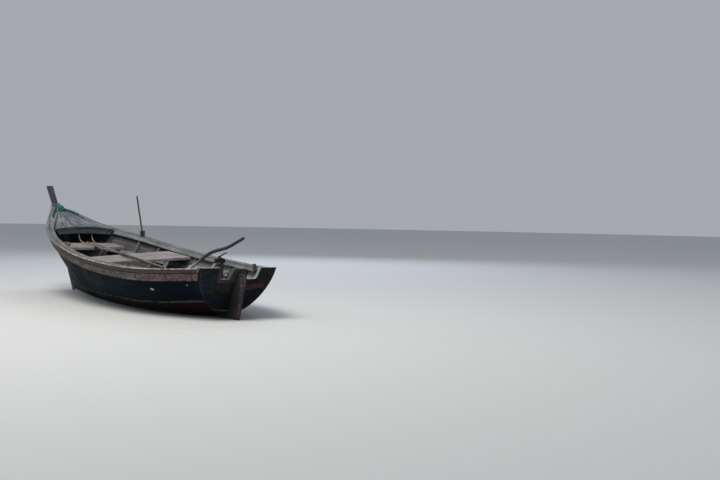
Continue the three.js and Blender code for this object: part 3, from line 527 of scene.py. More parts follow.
def coats(tree, colour, *layers):
    """Lays colours over one another. A layer is its colour and then its shares, patterns or numbers, which
    are multiplied for how far it covers what lies under it."""
    for over, share, *others in layers:
        for other in others:
            share = add(tree, "Math", {0: share, 1: other}, operation="MULTIPLY")
        colour = add(tree, "Mix", {0: share, 6: colour, 7: over}, out=2, data_type="RGBA")
    return colour


def fading(tree, value, start, stop, share=1.0, least=0.0):
    """Grows evenly from the least at start to the share at stop, which may lie below start."""
    reach = {"From Min": start, "From Max": stop, "To Min": least, "To Max": share}
    return add(tree, "MapRange", {"Value": value, **reach})


def band(tree, value, low, high, soft):
    """1 between two values and 0 outside, with soft edges. None leaves that side open."""
    rise = 1.0 if low is None else fading(tree, value, low - soft, low + soft)
    fall = 1.0 if high is None else fading(tree, value, high + soft, high - soft)
    return add(tree, "Math", {0: rise, 1: fall}, operation="MULTIPLY")


def spots(tree, spot, marks):
    """1 within each (centre, half sizes) ellipsoid, with an edge that wanders a little."""
    covered = 0.0
    for centre, half in marks:
        scale = 1 / np.array(half)
        shift = -scale * centre
        near = add(tree, "Mapping", {"Vector": spot, "Location": shift.tolist(), "Scale": scale.tolist()})
        away = add(tree, "VectorMath", {0: near}, out="Value", operation="LENGTH")
        ragged = add(tree, "TexNoise", {"Vector": near, "Scale": 2.0})
        inside = fading(tree, together(tree, (away, 1.0), (ragged, 0.7)), 1.4, 1.25)
        covered = add(tree, "Math", {0: covered, 1: inside}, operation="MAXIMUM")
    return covered


def hull_paint():
    """Old black-blue boat paint on planks: dull, brush-marked along the planks, stained where it wets. It
    is uneven in clouds of 385 mm, and it chips in flakes of about 111 mm."""
    material, tree, spot = new_material("black_blue_boat_paint")
    x, y, z = add(tree, "SeparateXYZ", {"Vector": spot}, out=slice(3))
    fine, broad = grained(tree, add(tree, "UVMap", uv_map="grain"), 9, 60)
    cloud = add(tree, "TexNoise", {"Vector": spot, "Scale": 1000 / 384.6, "Detail": 5.0})
    chips = add(tree, "TexNoise", {"Vector": spot, "Scale": 1000 / 111.1, "Detail": 4.0})
    tone = {"Fac": together(tree, (broad, 0.5), (cloud, 0.5))}
    paint = add(tree, "ValToRGB", tone, stops=[(0.36, "#00060c"), (0.5, "#030f18"), (0.64, "#082133")])
    stain_stops = [(0.3, "#050404"), (0.5, "#0b0908"), (0.7, "#0a0d0d")]
    stain = add(tree, "ValToRGB", {"Fac": fine}, stops=stain_stops)
    stain = coats(tree, stain, ("#2a1915", fading(tree, x, 0.4, -1.4, 0.7, 0.1)))
    lower_aft = fading(tree, x, -1.8, -2.8, 0.06)
    level = together(tree, (z, 1.0), (cloud, -0.06), (lower_aft, -1.0))
    scum_line = band(tree, level, 0.092, 0.108, 0.006)
    water_edge = band(tree, z, -0.2, 0.022, 0.005)
    scuffed = band(tree, level, 0.02, 0.085, 0.02)
    large_scrape = ((-2.227, 0.661, 0.294), (0.030, 0.05, 0.014))
    small_scrape = ((-2.766, 0.491, 0.368), (0.009, 0.05, 0.008))
    colour = coats(
        tree,
        paint,
        ("#0c1822", fading(tree, x, 0.2, 2.3, 0.75)),
        (stain, band(tree, level, None, 0.105, 0.012), 0.85),
        ("#5a6463", scum_line, band(tree, chips, 0.46, None, 0.06), 0.6),
        ("#a3acae", water_edge, fading(tree, x, -2.2, -0.6, 0.9)),
        ("#3a3c33", scuffed, band(tree, chips, 0.44, None, 0.08), fading(tree, x, 0.2, 1.2, 0.8)),
        ("#13241c", band(tree, x, None, -2.86, 0.03), 0.6),
        ("#a9adab", spots(tree, spot, [large_scrape, small_scrape])),
    )
    relief = together(tree, (fine, 1.0), (broad, 2.0))
    shine = fading(tree, cloud, 0.3, 0.7, 0.8, 0.5)
    return surfaced(material, colour, relief, 0.35, 1.5, {"Roughness": shine, "Specular IOR Level": 0.04})


def bare_wood(
    name,
    tones,
    crack="#241f1c",
    fibre_mm=5,
    broad_mm=45,
    seam_mm=0,
    tint=None,
    toward=(),
    butts=(),
    shaded_holes=(),
    groove_at=None,
    mottle=None,
):
    """Timber left to the sun: silvery on the ridges of the fibre, dark in the checks, in streaks along the
    grain and in clouds of 222 mm. seam_mm draws the seams of narrow boards. tint is (colour, share) of an
    old paint, left in patches of 111 mm. Each row of toward, (axis, from, to, colour, share), turns it to
    another colour along x, y or z. butts are the places along x where two lengths meet, and holes are
    (centre, half sizes) of hollows drawn dark, which is painted shade. groove_at is a place across the grain
    where the dark joint between two timbers runs, chipped in pieces of 53 mm; mottle is (colour, share) of
    stains of 38 mm. Butts are drawn 12 mm wide and seams 9 mm, wider than the real ones, so that they show."""
    material, tree, spot = new_material(name)
    along_axis = dict(zip("xyz", add(tree, "SeparateXYZ", {"Vector": spot}, out=slice(3))))
    uv = add(tree, "UVMap", uv_map="grain")
    across = add(tree, "SeparateXYZ", {"Vector": uv}, out="Y")
    fine, broad = grained(tree, uv, fibre_mm, broad_mm)
    cloud = add(tree, "TexNoise", {"Vector": spot, "Scale": 1000 / 222.2, "Detail": 4.0})
    tone = {"Fac": together(tree, (fine, 0.4), (broad, 0.35), (cloud, 0.25))}
    colour = add(tree, "ValToRGB", tone, stops=list(zip((0.36, 0.5, 0.64), tones)))
    layers = []
    if tint:
        patch = add(tree, "TexNoise", {"Vector": spot, "Scale": 1000 / 111.1, "Detail": 4.0})
        layers.append((tint[0], fading(tree, patch, 0.45, 0.62, tint[1])))
    for axis, start, stop, other, share in toward:
        uneven = together(tree, (broad, 1.0), (0.5, 1.0))
        layers.append((other, fading(tree, along_axis[axis], start, stop, share), uneven))
    check = band(tree, fine, 0.0, 0.34, 0.02)
    layers.append((crack, check, 0.75))
    layers += [(crack, band(tree, along_axis["x"], at - 0.006, at + 0.006, 0.003)) for at in butts]
    if shaded_holes:
        # Painted shade: each hollow is drawn dark.
        layers.append((crack, spots(tree, spot, shaded_holes)))
    if mottle:
        stains = add(tree, "TexNoise", {"Vector": spot, "Scale": 1000 / 38.46, "Detail": 3.0})
        layers.append((mottle[0], band(tree, stains, 0.54, None, 0.03), mottle[1]))
    if groove_at is not None:
        chips = add(tree, "TexNoise", {"Vector": spot, "Scale": 1000 / 52.63, "Detail": 2.0})
        beside = band(tree, across, groove_at, groove_at + 0.024, 0.004)
        layers.append((crack, band(tree, across, groove_at, groove_at + 0.006, 0.0015)))
        layers.append((crack, beside, band(tree, chips, 0.57, None, 0.015)))
    relief = [(fine, 1.0), (check, -1.0)]
    if seam_mm:
        lane = add(tree, "Math", {0: across, 1: seam_mm / 2000}, operation="PINGPONG")
        seam = add(tree, "Math", {0: lane, 1: 0.0045}, operation="LESS_THAN")
        layers.append((crack, seam, 0.9))
        relief.append((seam, -1.0))
    colour = coats(tree, colour, *layers)
    return surfaced(material, colour, together(tree, *relief), 0.55, 1.6, {"Roughness": 0.86})


planking_paint = hull_paint()
inside_planks = bare_wood(
    "inside_planking_painted_shade_and_light",
    ("#2d2f31", "#4a4d4f", "#666b6d"),
    crack="#17191a",
    fibre_mm=6,
    toward=[
        # Darker towards the bottom.
        ("z", 0.36, 0.1, "#1a1b1c", 0.8),
        # Painted shade: darker from x 0.75 aft, the shadow under the inwale just ahead of the thwart.
        ("x", 0.75, 0.5, "#1e2226", 0.75),
        # Painted light: pale pinkish grey from x 0.3 aft, where the planks lie lit under and behind the
        # thwart.
        ("x", 0.3, 0.1, "#8f8787", 0.75),
        # Paler grey aft of x -1.3.
        ("x", -1.0, -1.3, "#8d9497", 0.75),
    ],
)
rail_wood = bare_wood(
    "sun_bleached_rail_wood",
    ("#4d4d4e", "#6c6e71", "#8c9195"),
    crack="#2c2a29",
    fibre_mm=4,
    tint=("#857a7a", 0.3),
)
STRAKES = [
    ("garboard", 0.0, 0.26),
    ("bottom_strake", 0.26, 0.46),
    ("bilge_strake", 0.46, 0.64),
    ("side_strake", 0.64, 0.82),
    ("sheer_strake", 0.82, 1.0),
]
SEAM_ANGLE = 0.001
ACROSS, ALONG, SCARF_SHIFT = 9, 121, 0.9
strake_t = np.linspace(0, 1, ALONG)[:, None]
for number, (name, low, high) in enumerate(STRAKES):
    start = low * QUARTER + (SEAM_ANGLE if low else 0)
    stop = high * QUARTER - (SEAM_ANGLE if high < 1 else 0)
    angles = np.linspace(start, stop, ACROSS)[None, :]
    board = np.concatenate([skin(strake_t, angles), skin(strake_t, angles, PLANK)[:, ::-1]], 1)
    top_finish = 2 if high == 1 else 0
    sides = [0] * (ACROSS - 1) + [top_finish] + [1] * (ACROSS - 1) + [0]
    port_and_starboard(
        name,
        board,
        [planking_paint, inside_planks, rail_wood],
        parts=sides,
        bevel=0.0015,
        shift=SCARF_SHIFT * number,
        slot="hull_paint",
    )

# Rails: outwale and wale are nailed outside the sheer strake, and the outwale's lip covers the heads of
# strake, frames and inwale as far as the bow. The riser lower down carries the thwarts. The wale has old
# pink paint.
FRAME_SIDED, FRAME_MOULDED = 0.032, 0.040
INNER = PLANK + GAP + FRAME_MOULDED + 0.002
INWALE_THICK = 0.022
RAIL_START = 0.0006
outwale_side = bare_wood(
    "brown_olive_outwale_face",
    ("#201d19", "#35312b", "#4b463d"),
    crack="#0c0b0a",
    tint=("#3f3d26", 0.3),
    toward=[("x", 0.3, 1.6, "#a99d9a", 0.95)],
    mottle=("#4b362e", 0.7),
    # A hole in the rail, drawn dark as painted shade.
    shaded_holes=[((-1.535, 0.795, 0.527), (0.022, 0.04, 0.010))],
)
wale_wood = bare_wood(
    "pink_grey_painted_wale",
    ("#2b2725", "#554f4b", "#8a837d"),
    crack="#120d0f",
    fibre_mm=6,
    broad_mm=22,
    toward=[("x", -2.05, -2.5, "#6c4a4d", 0.6), ("x", 0.3, 0.9, "#67494a", 0.5)],
    mottle=("#2f2725", 0.55),
    butts=(-2.9, -2.56, -2.31, -2.08, -1.76, -1.52, -0.95, -0.35, 0.62, 1.48),
)
inwale_side = bare_wood("weathered_inwale_face", ("#505457", "#757c81", "#9fa8af"), crack="#242222")
cap_wood = bare_wood(
    "jointed_rail_cap",
    ("#353637", "#5b5d60", "#8b8e92"),
    crack="#151312",
    fibre_mm=4,
    tint=("#82726f", 0.3),
    groove_at=0.034,
)
cap_edge = bare_wood(
    "pale_pinkish_cap_edge",
    ("#85797a", "#bfb2ae", "#e4dad6"),
    crack="#241d1b",
    fibre_mm=3,
    broad_mm=12,
    mottle=("#3a2b26", 0.7),
)


def along_rail(top, bottom, near, far, first, last, rings=120):
    """A rectangle carried along the rail: its top and bottom are so far below the rail, its near and far
    faces so deep inwards from the planking's outer face."""
    t = np.concatenate([[first, first + 0.001], np.linspace(first + 0.004, last - 0.003, rings), [last]])
    rail = skin(t, QUARTER)[:, 2]
    corner = lambda down, inward: skin_at_height(t, rail - down, inward)
    return np.stack([corner(top, near), corner(top, far), corner(bottom, far), corner(bottom, near)], 1)


NEAR, FAR, LIP_HIGH, LIP_REACH, OUTWALE_LOW = -0.0015, -0.028, 0.013, 0.083, 0.036
t = np.concatenate([[RAIL_START, RAIL_START + 0.001], np.linspace(RAIL_START + 0.004, 0.991, 120), [0.994]])
rail = skin(t, QUARTER)
lip_reach = LIP_REACH + (NEAR + 0.0005 - LIP_REACH) * eased_step(t, 0.88, 0.95)
lip_drop = LIP_HIGH * eased_step(t, 0.955, 0.99)
above = lambda height, inward: rail + np.stack([0 * t, -(inward + 0 * t), height - lip_drop], -1)
below = lambda inward: skin_at_height(t, rail[:, 2] - OUTWALE_LOW, inward)
outwale = np.stack(
    [
        above(LIP_HIGH, FAR),
        above(LIP_HIGH, lip_reach),
        above(0.001, lip_reach),
        above(0.001, NEAR),
        below(NEAR),
        below(FAR + 0.002),
        above(0.002, FAR + 0.002),
        above(0.003, FAR),
    ],
    1,
)
END_X, END_NEAR, END_FAR = 2.86, 0.0315, 0.060
stem_end = np.array(
    [
        (END_X, END_FAR, 1.182),
        (END_X, END_NEAR, 1.182),
        (END_X, END_NEAR, 1.170),
        (END_X, END_NEAR + 0.0005, 1.168),
        (END_X, END_NEAR + 0.0005, 1.140),
        (END_X, END_FAR - 0.002, 1.140),
        (END_X, END_FAR - 0.002, 1.171),
        (END_X, END_FAR, 1.172),
    ]
)
run_on = outwale[-1] + (stem_end - outwale[-1]) * np.linspace(0.2, 1, 5)[:, None, None]
port_and_starboard(
    "outwale",
    np.concatenate([outwale, run_on]),
    [cap_wood, outwale_side, cap_edge],
    parts=[0, 0, 1, 1, 1, 1, 1, 2],
    bevel=0.004,
    slot="weathered_wood",
)
WALE_SOUND = 0.87
wale = along_rail(top=0.042, bottom=0.120, near=-0.0025, far=-0.022, first=RAIL_START, last=0.99)
worn_edge = wale[:, 1] + (wale[:, 2] - wale[:, 1]) * WALE_SOUND
wale_edge = bare_wood(
    "rubbed_brown_wale_edge", ("#3a261b", "#6b4a38", "#94735e"), crack="#150e0a", mottle=("#1d1512", 0.8)
)
port_and_starboard(
    "wale",
    np.insert(wale, 2, worn_edge, axis=1),
    [wale_wood, wale_edge],
    parts=[0, 0, 1, 1, 0],
    bevel=0.004,
    slot="weathered_wood",
)
port_and_starboard(
    "inwale",
    along_rail(top=0.001, bottom=0.070, near=INNER, far=INNER + INWALE_THICK, first=RAIL_START, last=0.952),
    [rail_wood, inwale_side],
    parts=[0, 1, 1, 1],
    slot="weathered_wood",
)
RISER_THICK, RISER_DEEP, RISER_FACE = 0.020, 0.055, INNER + 0.002
x = np.unique(np.concatenate([np.linspace(-2.4, 1.58, 60), RISER_TOPS[:, 0]]))
high, low = riser_top(x), riser_top(x) - RISER_DEEP
near, far = RISER_FACE, RISER_FACE + RISER_THICK
riser_edges = ((high, near), (high, far), (low, far), (low, near))
riser = from_edges(*[(x, half_width(x, z, inward), z) for z, inward in riser_edges])
port_and_starboard("riser", riser, [inwale_side], bevel=0.002, slot="weathered_wood")

# Frames: ten sawn frames of hardwood, each a floor timber and two futtocks in one line from rail to rail.
# They are darker towards the bottom and paler at the heads.
FRAME_X = [-2.59, -2.2, -1.76, -1.31, -0.84, -0.36, 0.11, 0.58, 1.05, 1.65]
FLOOR_SHARE, FLOOR_HALF, FLOOR_TAPER = 0.24, 0.045, 0.7
HEAD_LOW, PLANK_CLEAR, LOWEST_ANGLE = 0.006, 0.0025, 0.11
frame_wood = bare_wood(
    "frame_timber_darker_below",
    ("#3f3d3c", "#646362", "#8b8b8b"),
    crack="#1c1a19",
    # Darker towards the bottom.
    toward=[("z", 0.3, 0.05, "#262525", 0.8)],
)
frame_depth = PLANK + GAP + FRAME_MOULDED


def floor_at(x):
    """Height of the frames' flat floor."""
    return skin_at_x(x, FLOOR_SHARE * QUARTER, frame_depth)[..., 2]


def frame_rings(x):
    """A frame's section carried from the port head down under the floor and up to the starboard head."""
    head = float(solve(lambda a: skin_at_x(x, a, PLANK)[..., 2], rail_at(x) - HEAD_LOW, 0, QUARTER))
    wide = float(solve(lambda a: skin_at_x(x, a, frame_depth)[..., 1], FLOOR_HALF, 0, QUARTER))
    floor = max(float(floor_at(x)), float(skin_at_x(x, wide, frame_depth)[..., 2]))
    angles = np.unique(np.append(np.linspace(LOWEST_ANGLE, head, 40), FLOOR_SHARE * QUARTER))[::-1]
    ring = []
    for at in (x - FRAME_SIDED / 2, x + FRAME_SIDED / 2):
        low = skin_at_x(at, angles, PLANK + PLANK_CLEAR)
        high = skin_at_x(at, angles, frame_depth)
        high[:, 2] = np.maximum(high[:, 2], floor)
        high[:, 1] = np.maximum(high[:, 1], low[:, 1] * FLOOR_TAPER)
        ring += [low, high] if not ring else [high, low]
    port = np.stack(ring, 1)
    return np.concatenate([port, port[::-1] * [1, -1, 1]])


for number, frame_x in enumerate(FRAME_X, 1):
    name = f"frame_{number}"
    loft(name + "_sawn", frame_rings(frame_x), [frame_wood], slot="weathered_wood", stands_for=[name])

# Backbone: keel, deadwood and raked stem are one timber thick and scarfed. The keel and deadwood are tarred,
# and the stem, whose head stands above the rails, has worn dark grey paint.
KEEL_BOTTOM, KEEL_TOP, SCARF_X, TRANSOM_THICK = -0.255, -0.150, 1.71, 0.057
KEEL_HALF = SIDED / 2 - GAP
stem_paint = bare_wood(
    "dark_grey_stem_paint", ("#14181c", "#2b3239", "#4d5762"), crack="#0b0d10", fibre_mm=6
)
keel_wood = bare_wood("tarred_keel_timber", ("#15130f", "#25211d", "#38322c"), crack="#0a0908", fibre_mm=7)


def rabbet_at(x):
    """Height of the rabbet at a distance."""
    aft = transom_x(STATIONS[0, RABBET])
    return fair(RABBET, (x - aft) / (FOREFOOT_X - aft))


def seat_at(x):
    """The keel's top: above the rabbet amidships, and just below it at the forefoot."""
    u = eased_step(x, -0.1, 0.4)
    return rabbet_at(x) + (PLANK - GAP) * (1 - u) - GAP * u


def side_piece(name, outline, y0, y1, finish, grain_along=(1, 0, 0), **words):
    """A flat piece seen from the side, between two values of y; the grain runs along one direction."""
    outline = np.asarray(outline, float)
    rings = np.stack([np.insert(outline, 1, y, axis=1) for y in (y0, y1)])
    piece = loft(name, rings, finish, **words)
    mesh = piece.data
    spots_at = np.zeros(len(mesh.vertices) * 3)
    mesh.vertices.foreach_get("co", spots_at)
    corner = np.zeros(len(mesh.loops), int)
    mesh.loops.foreach_get("vertex_index", corner)
    p = spots_at.reshape(-1, 3)[corner]
    along = np.asarray(grain_along, float) / np.linalg.norm(grain_along)
    upward = np.cross(along, (0, 1, 0))
    uv = np.stack([p @ along, p @ upward + p[:, 1]], 1)
    mesh.uv_layers["grain"].data.foreach_set("uv", uv.astype(np.float32).ravel())
    return piece


def aft_end(z):
    """The backbone stops at the transom's after face, which leans with height."""
    return transom_x(z) - TRANSOM_THICK - GAP


x = np.linspace(SCARF_X, -1.17, 25)
keel_top = np.stack([x, np.minimum(seat_at(x), KEEL_TOP)], 1)
side_piece(
    "keel_timber",
    [
        (aft_end(KEEL_BOTTOM), KEEL_BOTTOM),
        (1.23, KEEL_BOTTOM),
        (1.49, KEEL_BOTTOM + 0.012),
        (SCARF_X, KEEL_BOTTOM + 0.042),
        *keel_top,
        (aft_end(KEEL_TOP), KEEL_TOP),
    ],
    -KEEL_HALF,
    KEEL_HALF,
    [keel_wood],
    slot="dark_wood",
    stands_for=["keel"],
)
low = KEEL_TOP + GAP
end = float(solve(lambda s: -seat_at(s), -low - 0.004, -2.4, -0.6))
under = STATIONS[0, RABBET] - GAP
x = np.linspace(end, transom_x(STATIONS[0, RABBET]) + 0.002, 16)
side_piece(
    "deadwood_timber",
    [
        (aft_end(low), low),
        (end, low),
        *np.stack([x, seat_at(x)], 1),
        (transom_x(STATIONS[0, RABBET]) + 0.002, under),
        (aft_end(under), under),
    ],
    -KEEL_HALF,
    KEEL_HALF,
    [keel_wood],
    slot="dark_wood",
    stands_for=["deadwood"],
)
STEM_DEEP = 0.115
rail_top, rabbet_low = STATIONS[-1, RAIL], STATIONS[-1, RABBET]
stem_aft = lambda z: stem_x(z) + GAP
side_piece(
    "stem_timber",
    [
        (SCARF_X + GAP, KEEL_BOTTOM + 0.042),
        (1.81, -0.190), (1.85, -0.158),
        (stem_aft(-0.1) + STEM_DEEP, -0.1),
        (stem_aft(rail_top) + STEM_DEEP, rail_top),
        (3.012, 1.325), (3.156, 1.470), (3.151, 1.482), (3.040, 1.489), (3.026, 1.485), (2.896, 1.338),
        (stem_aft(rail_top), rail_top),
        (stem_aft(rabbet_low), rabbet_low - GAP),
        (SCARF_X + GAP, float(rabbet_at(SCARF_X)) - GAP),
    ],
    -SIDED / 2,
    SIDED / 2,
    [stem_paint],
    grain_along=(STEM_RAKE, 0, 1),
    bevel=0.005,
    segments=3,
    slot="dark_wood",
    stands_for=["stem"],
)

# Sternpost: a wedge that fills out the raked transom's after face to a nearly upright edge, with a stepped
# head. Navy-black paint on its sides, rubbed through to brown wood along the after edge and at the foot.
# Columns: height, half width, place of its after face
POST_SECTIONS = np.array(
    [
        (KEEL_BOTTOM, 0.017, -3.005),
        (0.0, 0.018, -3.056), (0.360, 0.031, -3.138), (0.452, 0.034, -3.155), (0.470, 0.034, -3.141),
        (0.505, 0.033, -3.144),
    ]
)
post_wood = bare_wood(
    "rubbed_sternpost_timber",
    ("#171516", "#2b2728", "#474142"),
    crack="#0a0909",
    tint=("#38251f", 0.6),
    mottle=("#6a5d59", 0.5),
)
post_paint = bare_wood(
    "navy_black_sternpost_paint",
    ("#05070b", "#0a0e14", "#151a20"),
    crack="#030405",
    tint=("#15100f", 0.4),
    toward=[("z", 0.16, 0.04, "#2b201c", 0.9)],
    mottle=("#2b2523", 0.5),
)
z, half, aft = POST_SECTIONS.T
fore = transom_x(z) - TRANSOM_THICK - 2 * GAP
post = from_edges((fore, half, z), (aft, half, z), (aft, -half, z), (fore, -half, z))
loft(
    "sternpost_timber",
    post,
    [post_wood, post_paint],
    parts=[1, 0, 1, 0],
    bevel=0.004,
    slot="red_wood",
    stands_for=["sternpost"],
)

# Transom: thick boards across the stern, bent round with the planking, painted charcoal. Its top has a
# raised pad between two notches; the notches' edges are worn to pale wood.
TRANSOM_TOP = np.array(
    [
        (0.0, 0.558), (0.058, 0.558), (0.076, 0.552), (0.101, 0.450), (0.114, 0.442), (0.206, 0.445),
        (0.226, 0.460), (0.243, 0.570), (0.440, 0.568),
    ]
)


def transom_edge(y):
    """The transom's lower edge and how far its face stands forward, at a distance from the centre line."""
    y = np.maximum(np.asarray(y, float), SIDED / 2)
    p = skin(0.0, solve(lambda a: skin(np.zeros_like(a), a)[..., 1], y, 0, QUARTER))
    return p[..., 2], p[..., 0] - transom_x(p[..., 2])


def transom_paint():
    """Charcoal paint in broad dull sheets, brown where it has been rubbed, pale wood in the notches. It is
    uneven in clouds of 200 mm and patched with grey over 67 mm."""
    material, tree, spot = new_material("charcoal_transom_paint")
    x, y, z = add(tree, "SeparateXYZ", {"Vector": spot}, out=slice(3))
    drawn = add(tree, "Mapping", {"Vector": spot, "Scale": (14.0, 3.0, 26.0)})
    fine = add(tree, "TexNoise", {"Vector": drawn, "Scale": 2.0, "Detail": 5.0})
    cloud = add(tree, "TexNoise", {"Vector": spot, "Scale": 1000 / 200, "Detail": 4.0})
    patches = add(tree, "TexNoise", {"Vector": spot, "Scale": 1000 / 66.67, "Detail": 4.0})
    tone = {"Fac": together(tree, (fine, 0.5), (cloud, 0.5))}
    paint = add(tree, "ValToRGB", tone, stops=[(0.38, "#040607"), (0.5, "#0c0f11"), (0.64, "#1b2123")])
    wavy = together(tree, (z, 1.0), (cloud, 0.09), (-0.5, 0.09))
    above = band(tree, z, 0.40, None, 0.012)
    joint = {0: band(tree, y, 0.242, 0.247, 0.001), 1: band(tree, z, 0.30, None, 0.01)}
    joint = add(tree, "Math", joint, operation="MULTIPLY")
    colour = coats(
        tree,
        paint,
        ("#2d3233", band(tree, patches, 0.55, None, 0.05), 0.5),
        ("#20272c", band(tree, y, 0.25, None, 0.004), band(tree, z, 0.27, None, 0.03), 0.5),
        ("#454342", band(tree, y, -0.08, 0.25, 0.01), above, 0.7),
        ("#17221c", band(tree, y, None, -0.10, 0.01), above, 0.55),
        ("#4a2f2c", band(tree, y, -0.35, -0.02, 0.02), band(tree, wavy, 0.32, 0.38, 0.015), 0.7),
        ("#3e2f27", band(tree, y, 0.02, 0.20, 0.05), band(tree, wavy, 0.30, 0.40, 0.03), 0.55),
        ("#0e1626", band(tree, z, 0.12, 0.29, 0.02), 0.6),
        ("#26231e", band(tree, z, None, 0.10, 0.03), 0.6),
        ("#566260", band(tree, z, 0.085, 0.10, 0.004), band(tree, fine, 0.45, None, 0.001)),
        ("#050607", joint),
        ("#4a2c3c", band(tree, y, None, -0.428, 0.004), band(tree, z, 0.50, None, 0.01), 0.8),
    )
    relief = together(tree, (fine, 1.0), (joint, -1.0))
    return surfaced(material, colour, relief, 0.5, 2.0, {"Roughness": 0.65, "Specular IOR Level": 0.1})


transom_finish = transom_paint()
notch_wood = bare_wood(
    "worn_notch_wood",
    ("#77797a", "#a3a5a6", "#c4c6c7"),
    crack="#2f2d2b",
    toward=[("y", 0.13, 0.11, "#454647", 0.95), ("y", -0.06, -0.09, "#9c9fa1", 0.95)],
)
edge_y = skin(0.0, np.linspace(0, QUARTER, 30))[:, 1]
half = np.unique(np.concatenate([[0.0], edge_y, TRANSOM_TOP[1:, 0]]))
y = np.concatenate([-half[:0:-1], half])
low, round_off = transom_edge(np.abs(y))
high = np.interp(np.abs(y), TRANSOM_TOP[:, 0], TRANSOM_TOP[:, 1])
faces_back = ((low, GAP), (high, GAP), (high, TRANSOM_THICK), (low, TRANSOM_THICK))
transom = from_edges(*[(transom_x(z) + round_off - back, y, z) for z, back in faces_back])
loft(
    "transom_board",
    transom,
    [transom_finish, notch_wood],
    parts=[0, 1, 0, 0],
    bevel=0.004,
    slot="transom_paint",
    stands_for=["transom"],
)

# Pad packing: a grey block bolted inside the raised pad, its top sloping down forward. It shows over the
# port notch.
pad_wood = bare_wood("grey_pad_packing", ("#3b3c3c", "#5e5f5f", "#858686"), crack="#1b1b1b")
side_piece(
    "pad_packing_block",
    [(-3.003, 0.455), (-3.035, 0.549), (-2.985, 0.552), (-2.868, 0.497), (-2.868, 0.455)],
    -0.056,
    0.056,
    [pad_wood],
    slot="dark_wood",
)

# Quarter knees: two flat knees of tarred hardwood, sawn from grown crooks, that brace the transom to the
# inwales just under the rail and are nailed to both.
knee_low, knee_high = STATIONS[0, RAIL] - 0.048, STATIONS[0, RAIL] - 0.012
KNEE_TOE, KNEE_TOE_INNER, KNEE_THROAT, KNEE_WIDE = 0.230, 0.212, 0.062, 0.128
knee_aft = float(transom_x(knee_low)) + 0.002
reach_at = lambda forward: float(half_width(knee_aft + forward, knee_low, INNER + INWALE_THICK + GAP))
outer = reach_at(0.09) - 0.038
inner = outer - KNEE_WIDE
knee_outline = [
    (knee_aft + float(transom_edge(outer)[1]), outer),
    (knee_aft + KNEE_TOE, reach_at(KNEE_TOE) - 0.009),
    (knee_aft + KNEE_TOE_INNER, reach_at(KNEE_TOE_INNER) - 0.034),
    (knee_aft + KNEE_THROAT, inner + 0.016),
    (knee_aft + float(transom_edge(inner)[1]), inner),
]
knee = np.array([[(x, y, z) for x, y in knee_outline] for z in (knee_low, knee_high)])
port_and_starboard("quarter_knee", knee, [keel_wood], slot="dark_wood")

# Foredeck: a cambered beam between the rails and three wide runs of narrow boards laid from it to the
# breasthook, silver-grey and streaked fore and aft.
BEAM_X, BEAM_THICK, DECK_THICK, DECK_END = 1.59, 0.042, 0.022, 2.465
DECK_RISE, CAMBER, DECK_CLEAR = 0.018, 0.038, INWALE_THICK + 0.002
deck_wood = bare_wood(
    "silver_grey_deck_boards",
    ("#282b2e", "#54595e", "#90989e"),
    crack="#101112",
    fibre_mm=6,
    broad_mm=26,
    seam_mm=84,
)
beam_wood = bare_wood("dark_grey_beam_timber", ("#2a2d31", "#44484e", "#5e646a"), crack="#15171a")
# The boards' end faces are pale as a painted highlight, a bright line along the beam's top edge.
board_end_highlight = bare_wood("board_ends_painted_highlight", ("#74797c", "#969b9e", "#b4b9bb"), crack="#3a3c3d", fibre_mm=6)


def deck_half(x):
    """Half the width between the inwales, a little below the rail."""
    return half_width(x, rail_at(x) - 0.030, INNER + DECK_CLEAR)


beam_half = float(deck_half(BEAM_X))


def deck_top(x, y):
    """The deck's surface: level with the rails' sides plus a rise, and a parabola of camber across."""
    half = deck_half(x)
    return rail_at(x) + DECK_RISE + CAMBER * (half / beam_half) * (1 - (y / half) ** 2)


across = np.linspace(1, -1, 33)
high_reach = float(deck_half(BEAM_X + BEAM_THICK)) - 0.001
low_reach = float(half_width(BEAM_X + BEAM_THICK, rail_at(BEAM_X) - 0.090, INNER + DECK_CLEAR))
y = high_reach * across
top = np.minimum(deck_top(BEAM_X + 0 * y, y), deck_top(BEAM_X + BEAM_THICK + 0 * y, y)) - DECK_THICK - 0.002
bottom = float(rail_at(BEAM_X)) - 0.044 - 0.016 * across**2
fore, low_y = BEAM_X + BEAM_THICK, low_reach * across
beam = from_edges((BEAM_X, y, top), (fore, y, top), (fore, low_y, bottom), (BEAM_X, low_y, bottom))
loft("foredeck_beam_timber", beam, [beam_wood], slot="dark_wood", stands_for=["foredeck_beam"])
DECK_BOARDS = (("port", 0.35, 1.0), ("centre", -0.345, 0.345), ("starboard", -1.0, -0.35))
for side, share_from, share_to in DECK_BOARDS:
    x = np.linspace(BEAM_X - 0.008, DECK_END, 31)[:, None]
    share = np.linspace(share_from, share_to, 9)[None, :]
    y = share * deck_half(x[:, 0])[:, None] - np.sign(share_from + share_to) * 0.0003
    x = x + 0 * y
    top = deck_top(x[:, :1] + 0 * y, y)
    upper = np.stack([x, y, top], -1)
    rings = np.concatenate([upper, (upper - [0, 0, DECK_THICK])[:, ::-1]], 1)
    name = "foredeck_board_" + side
    loft(
        name + "_planed",
        rings,
        [deck_wood, board_end_highlight],
        end_part=1,
        bevel=0.002,
        slot="pale_wood",
        stands_for=[name],
    )

# Breasthook: a flat crook of dark grey wood behind the stem that ties the two sides together. It is sawn to
# fit between them just under the rails and nailed through the planking.
t = np.linspace(0.968, 0.993, 7)
rail = skin(t, QUARTER)[:, 2]
hook = lambda down, side: skin_at_height(t, rail - down, PLANK + 0.002) * [1, side, 1]
breasthook = np.stack([hook(0.040, 1), hook(0.040, -1), hook(0.080, -1), hook(0.080, 1)], 1)
loft("breasthook_crook", breasthook, [beam_wood], slot="weathered_wood", stands_for=["breasthook"])

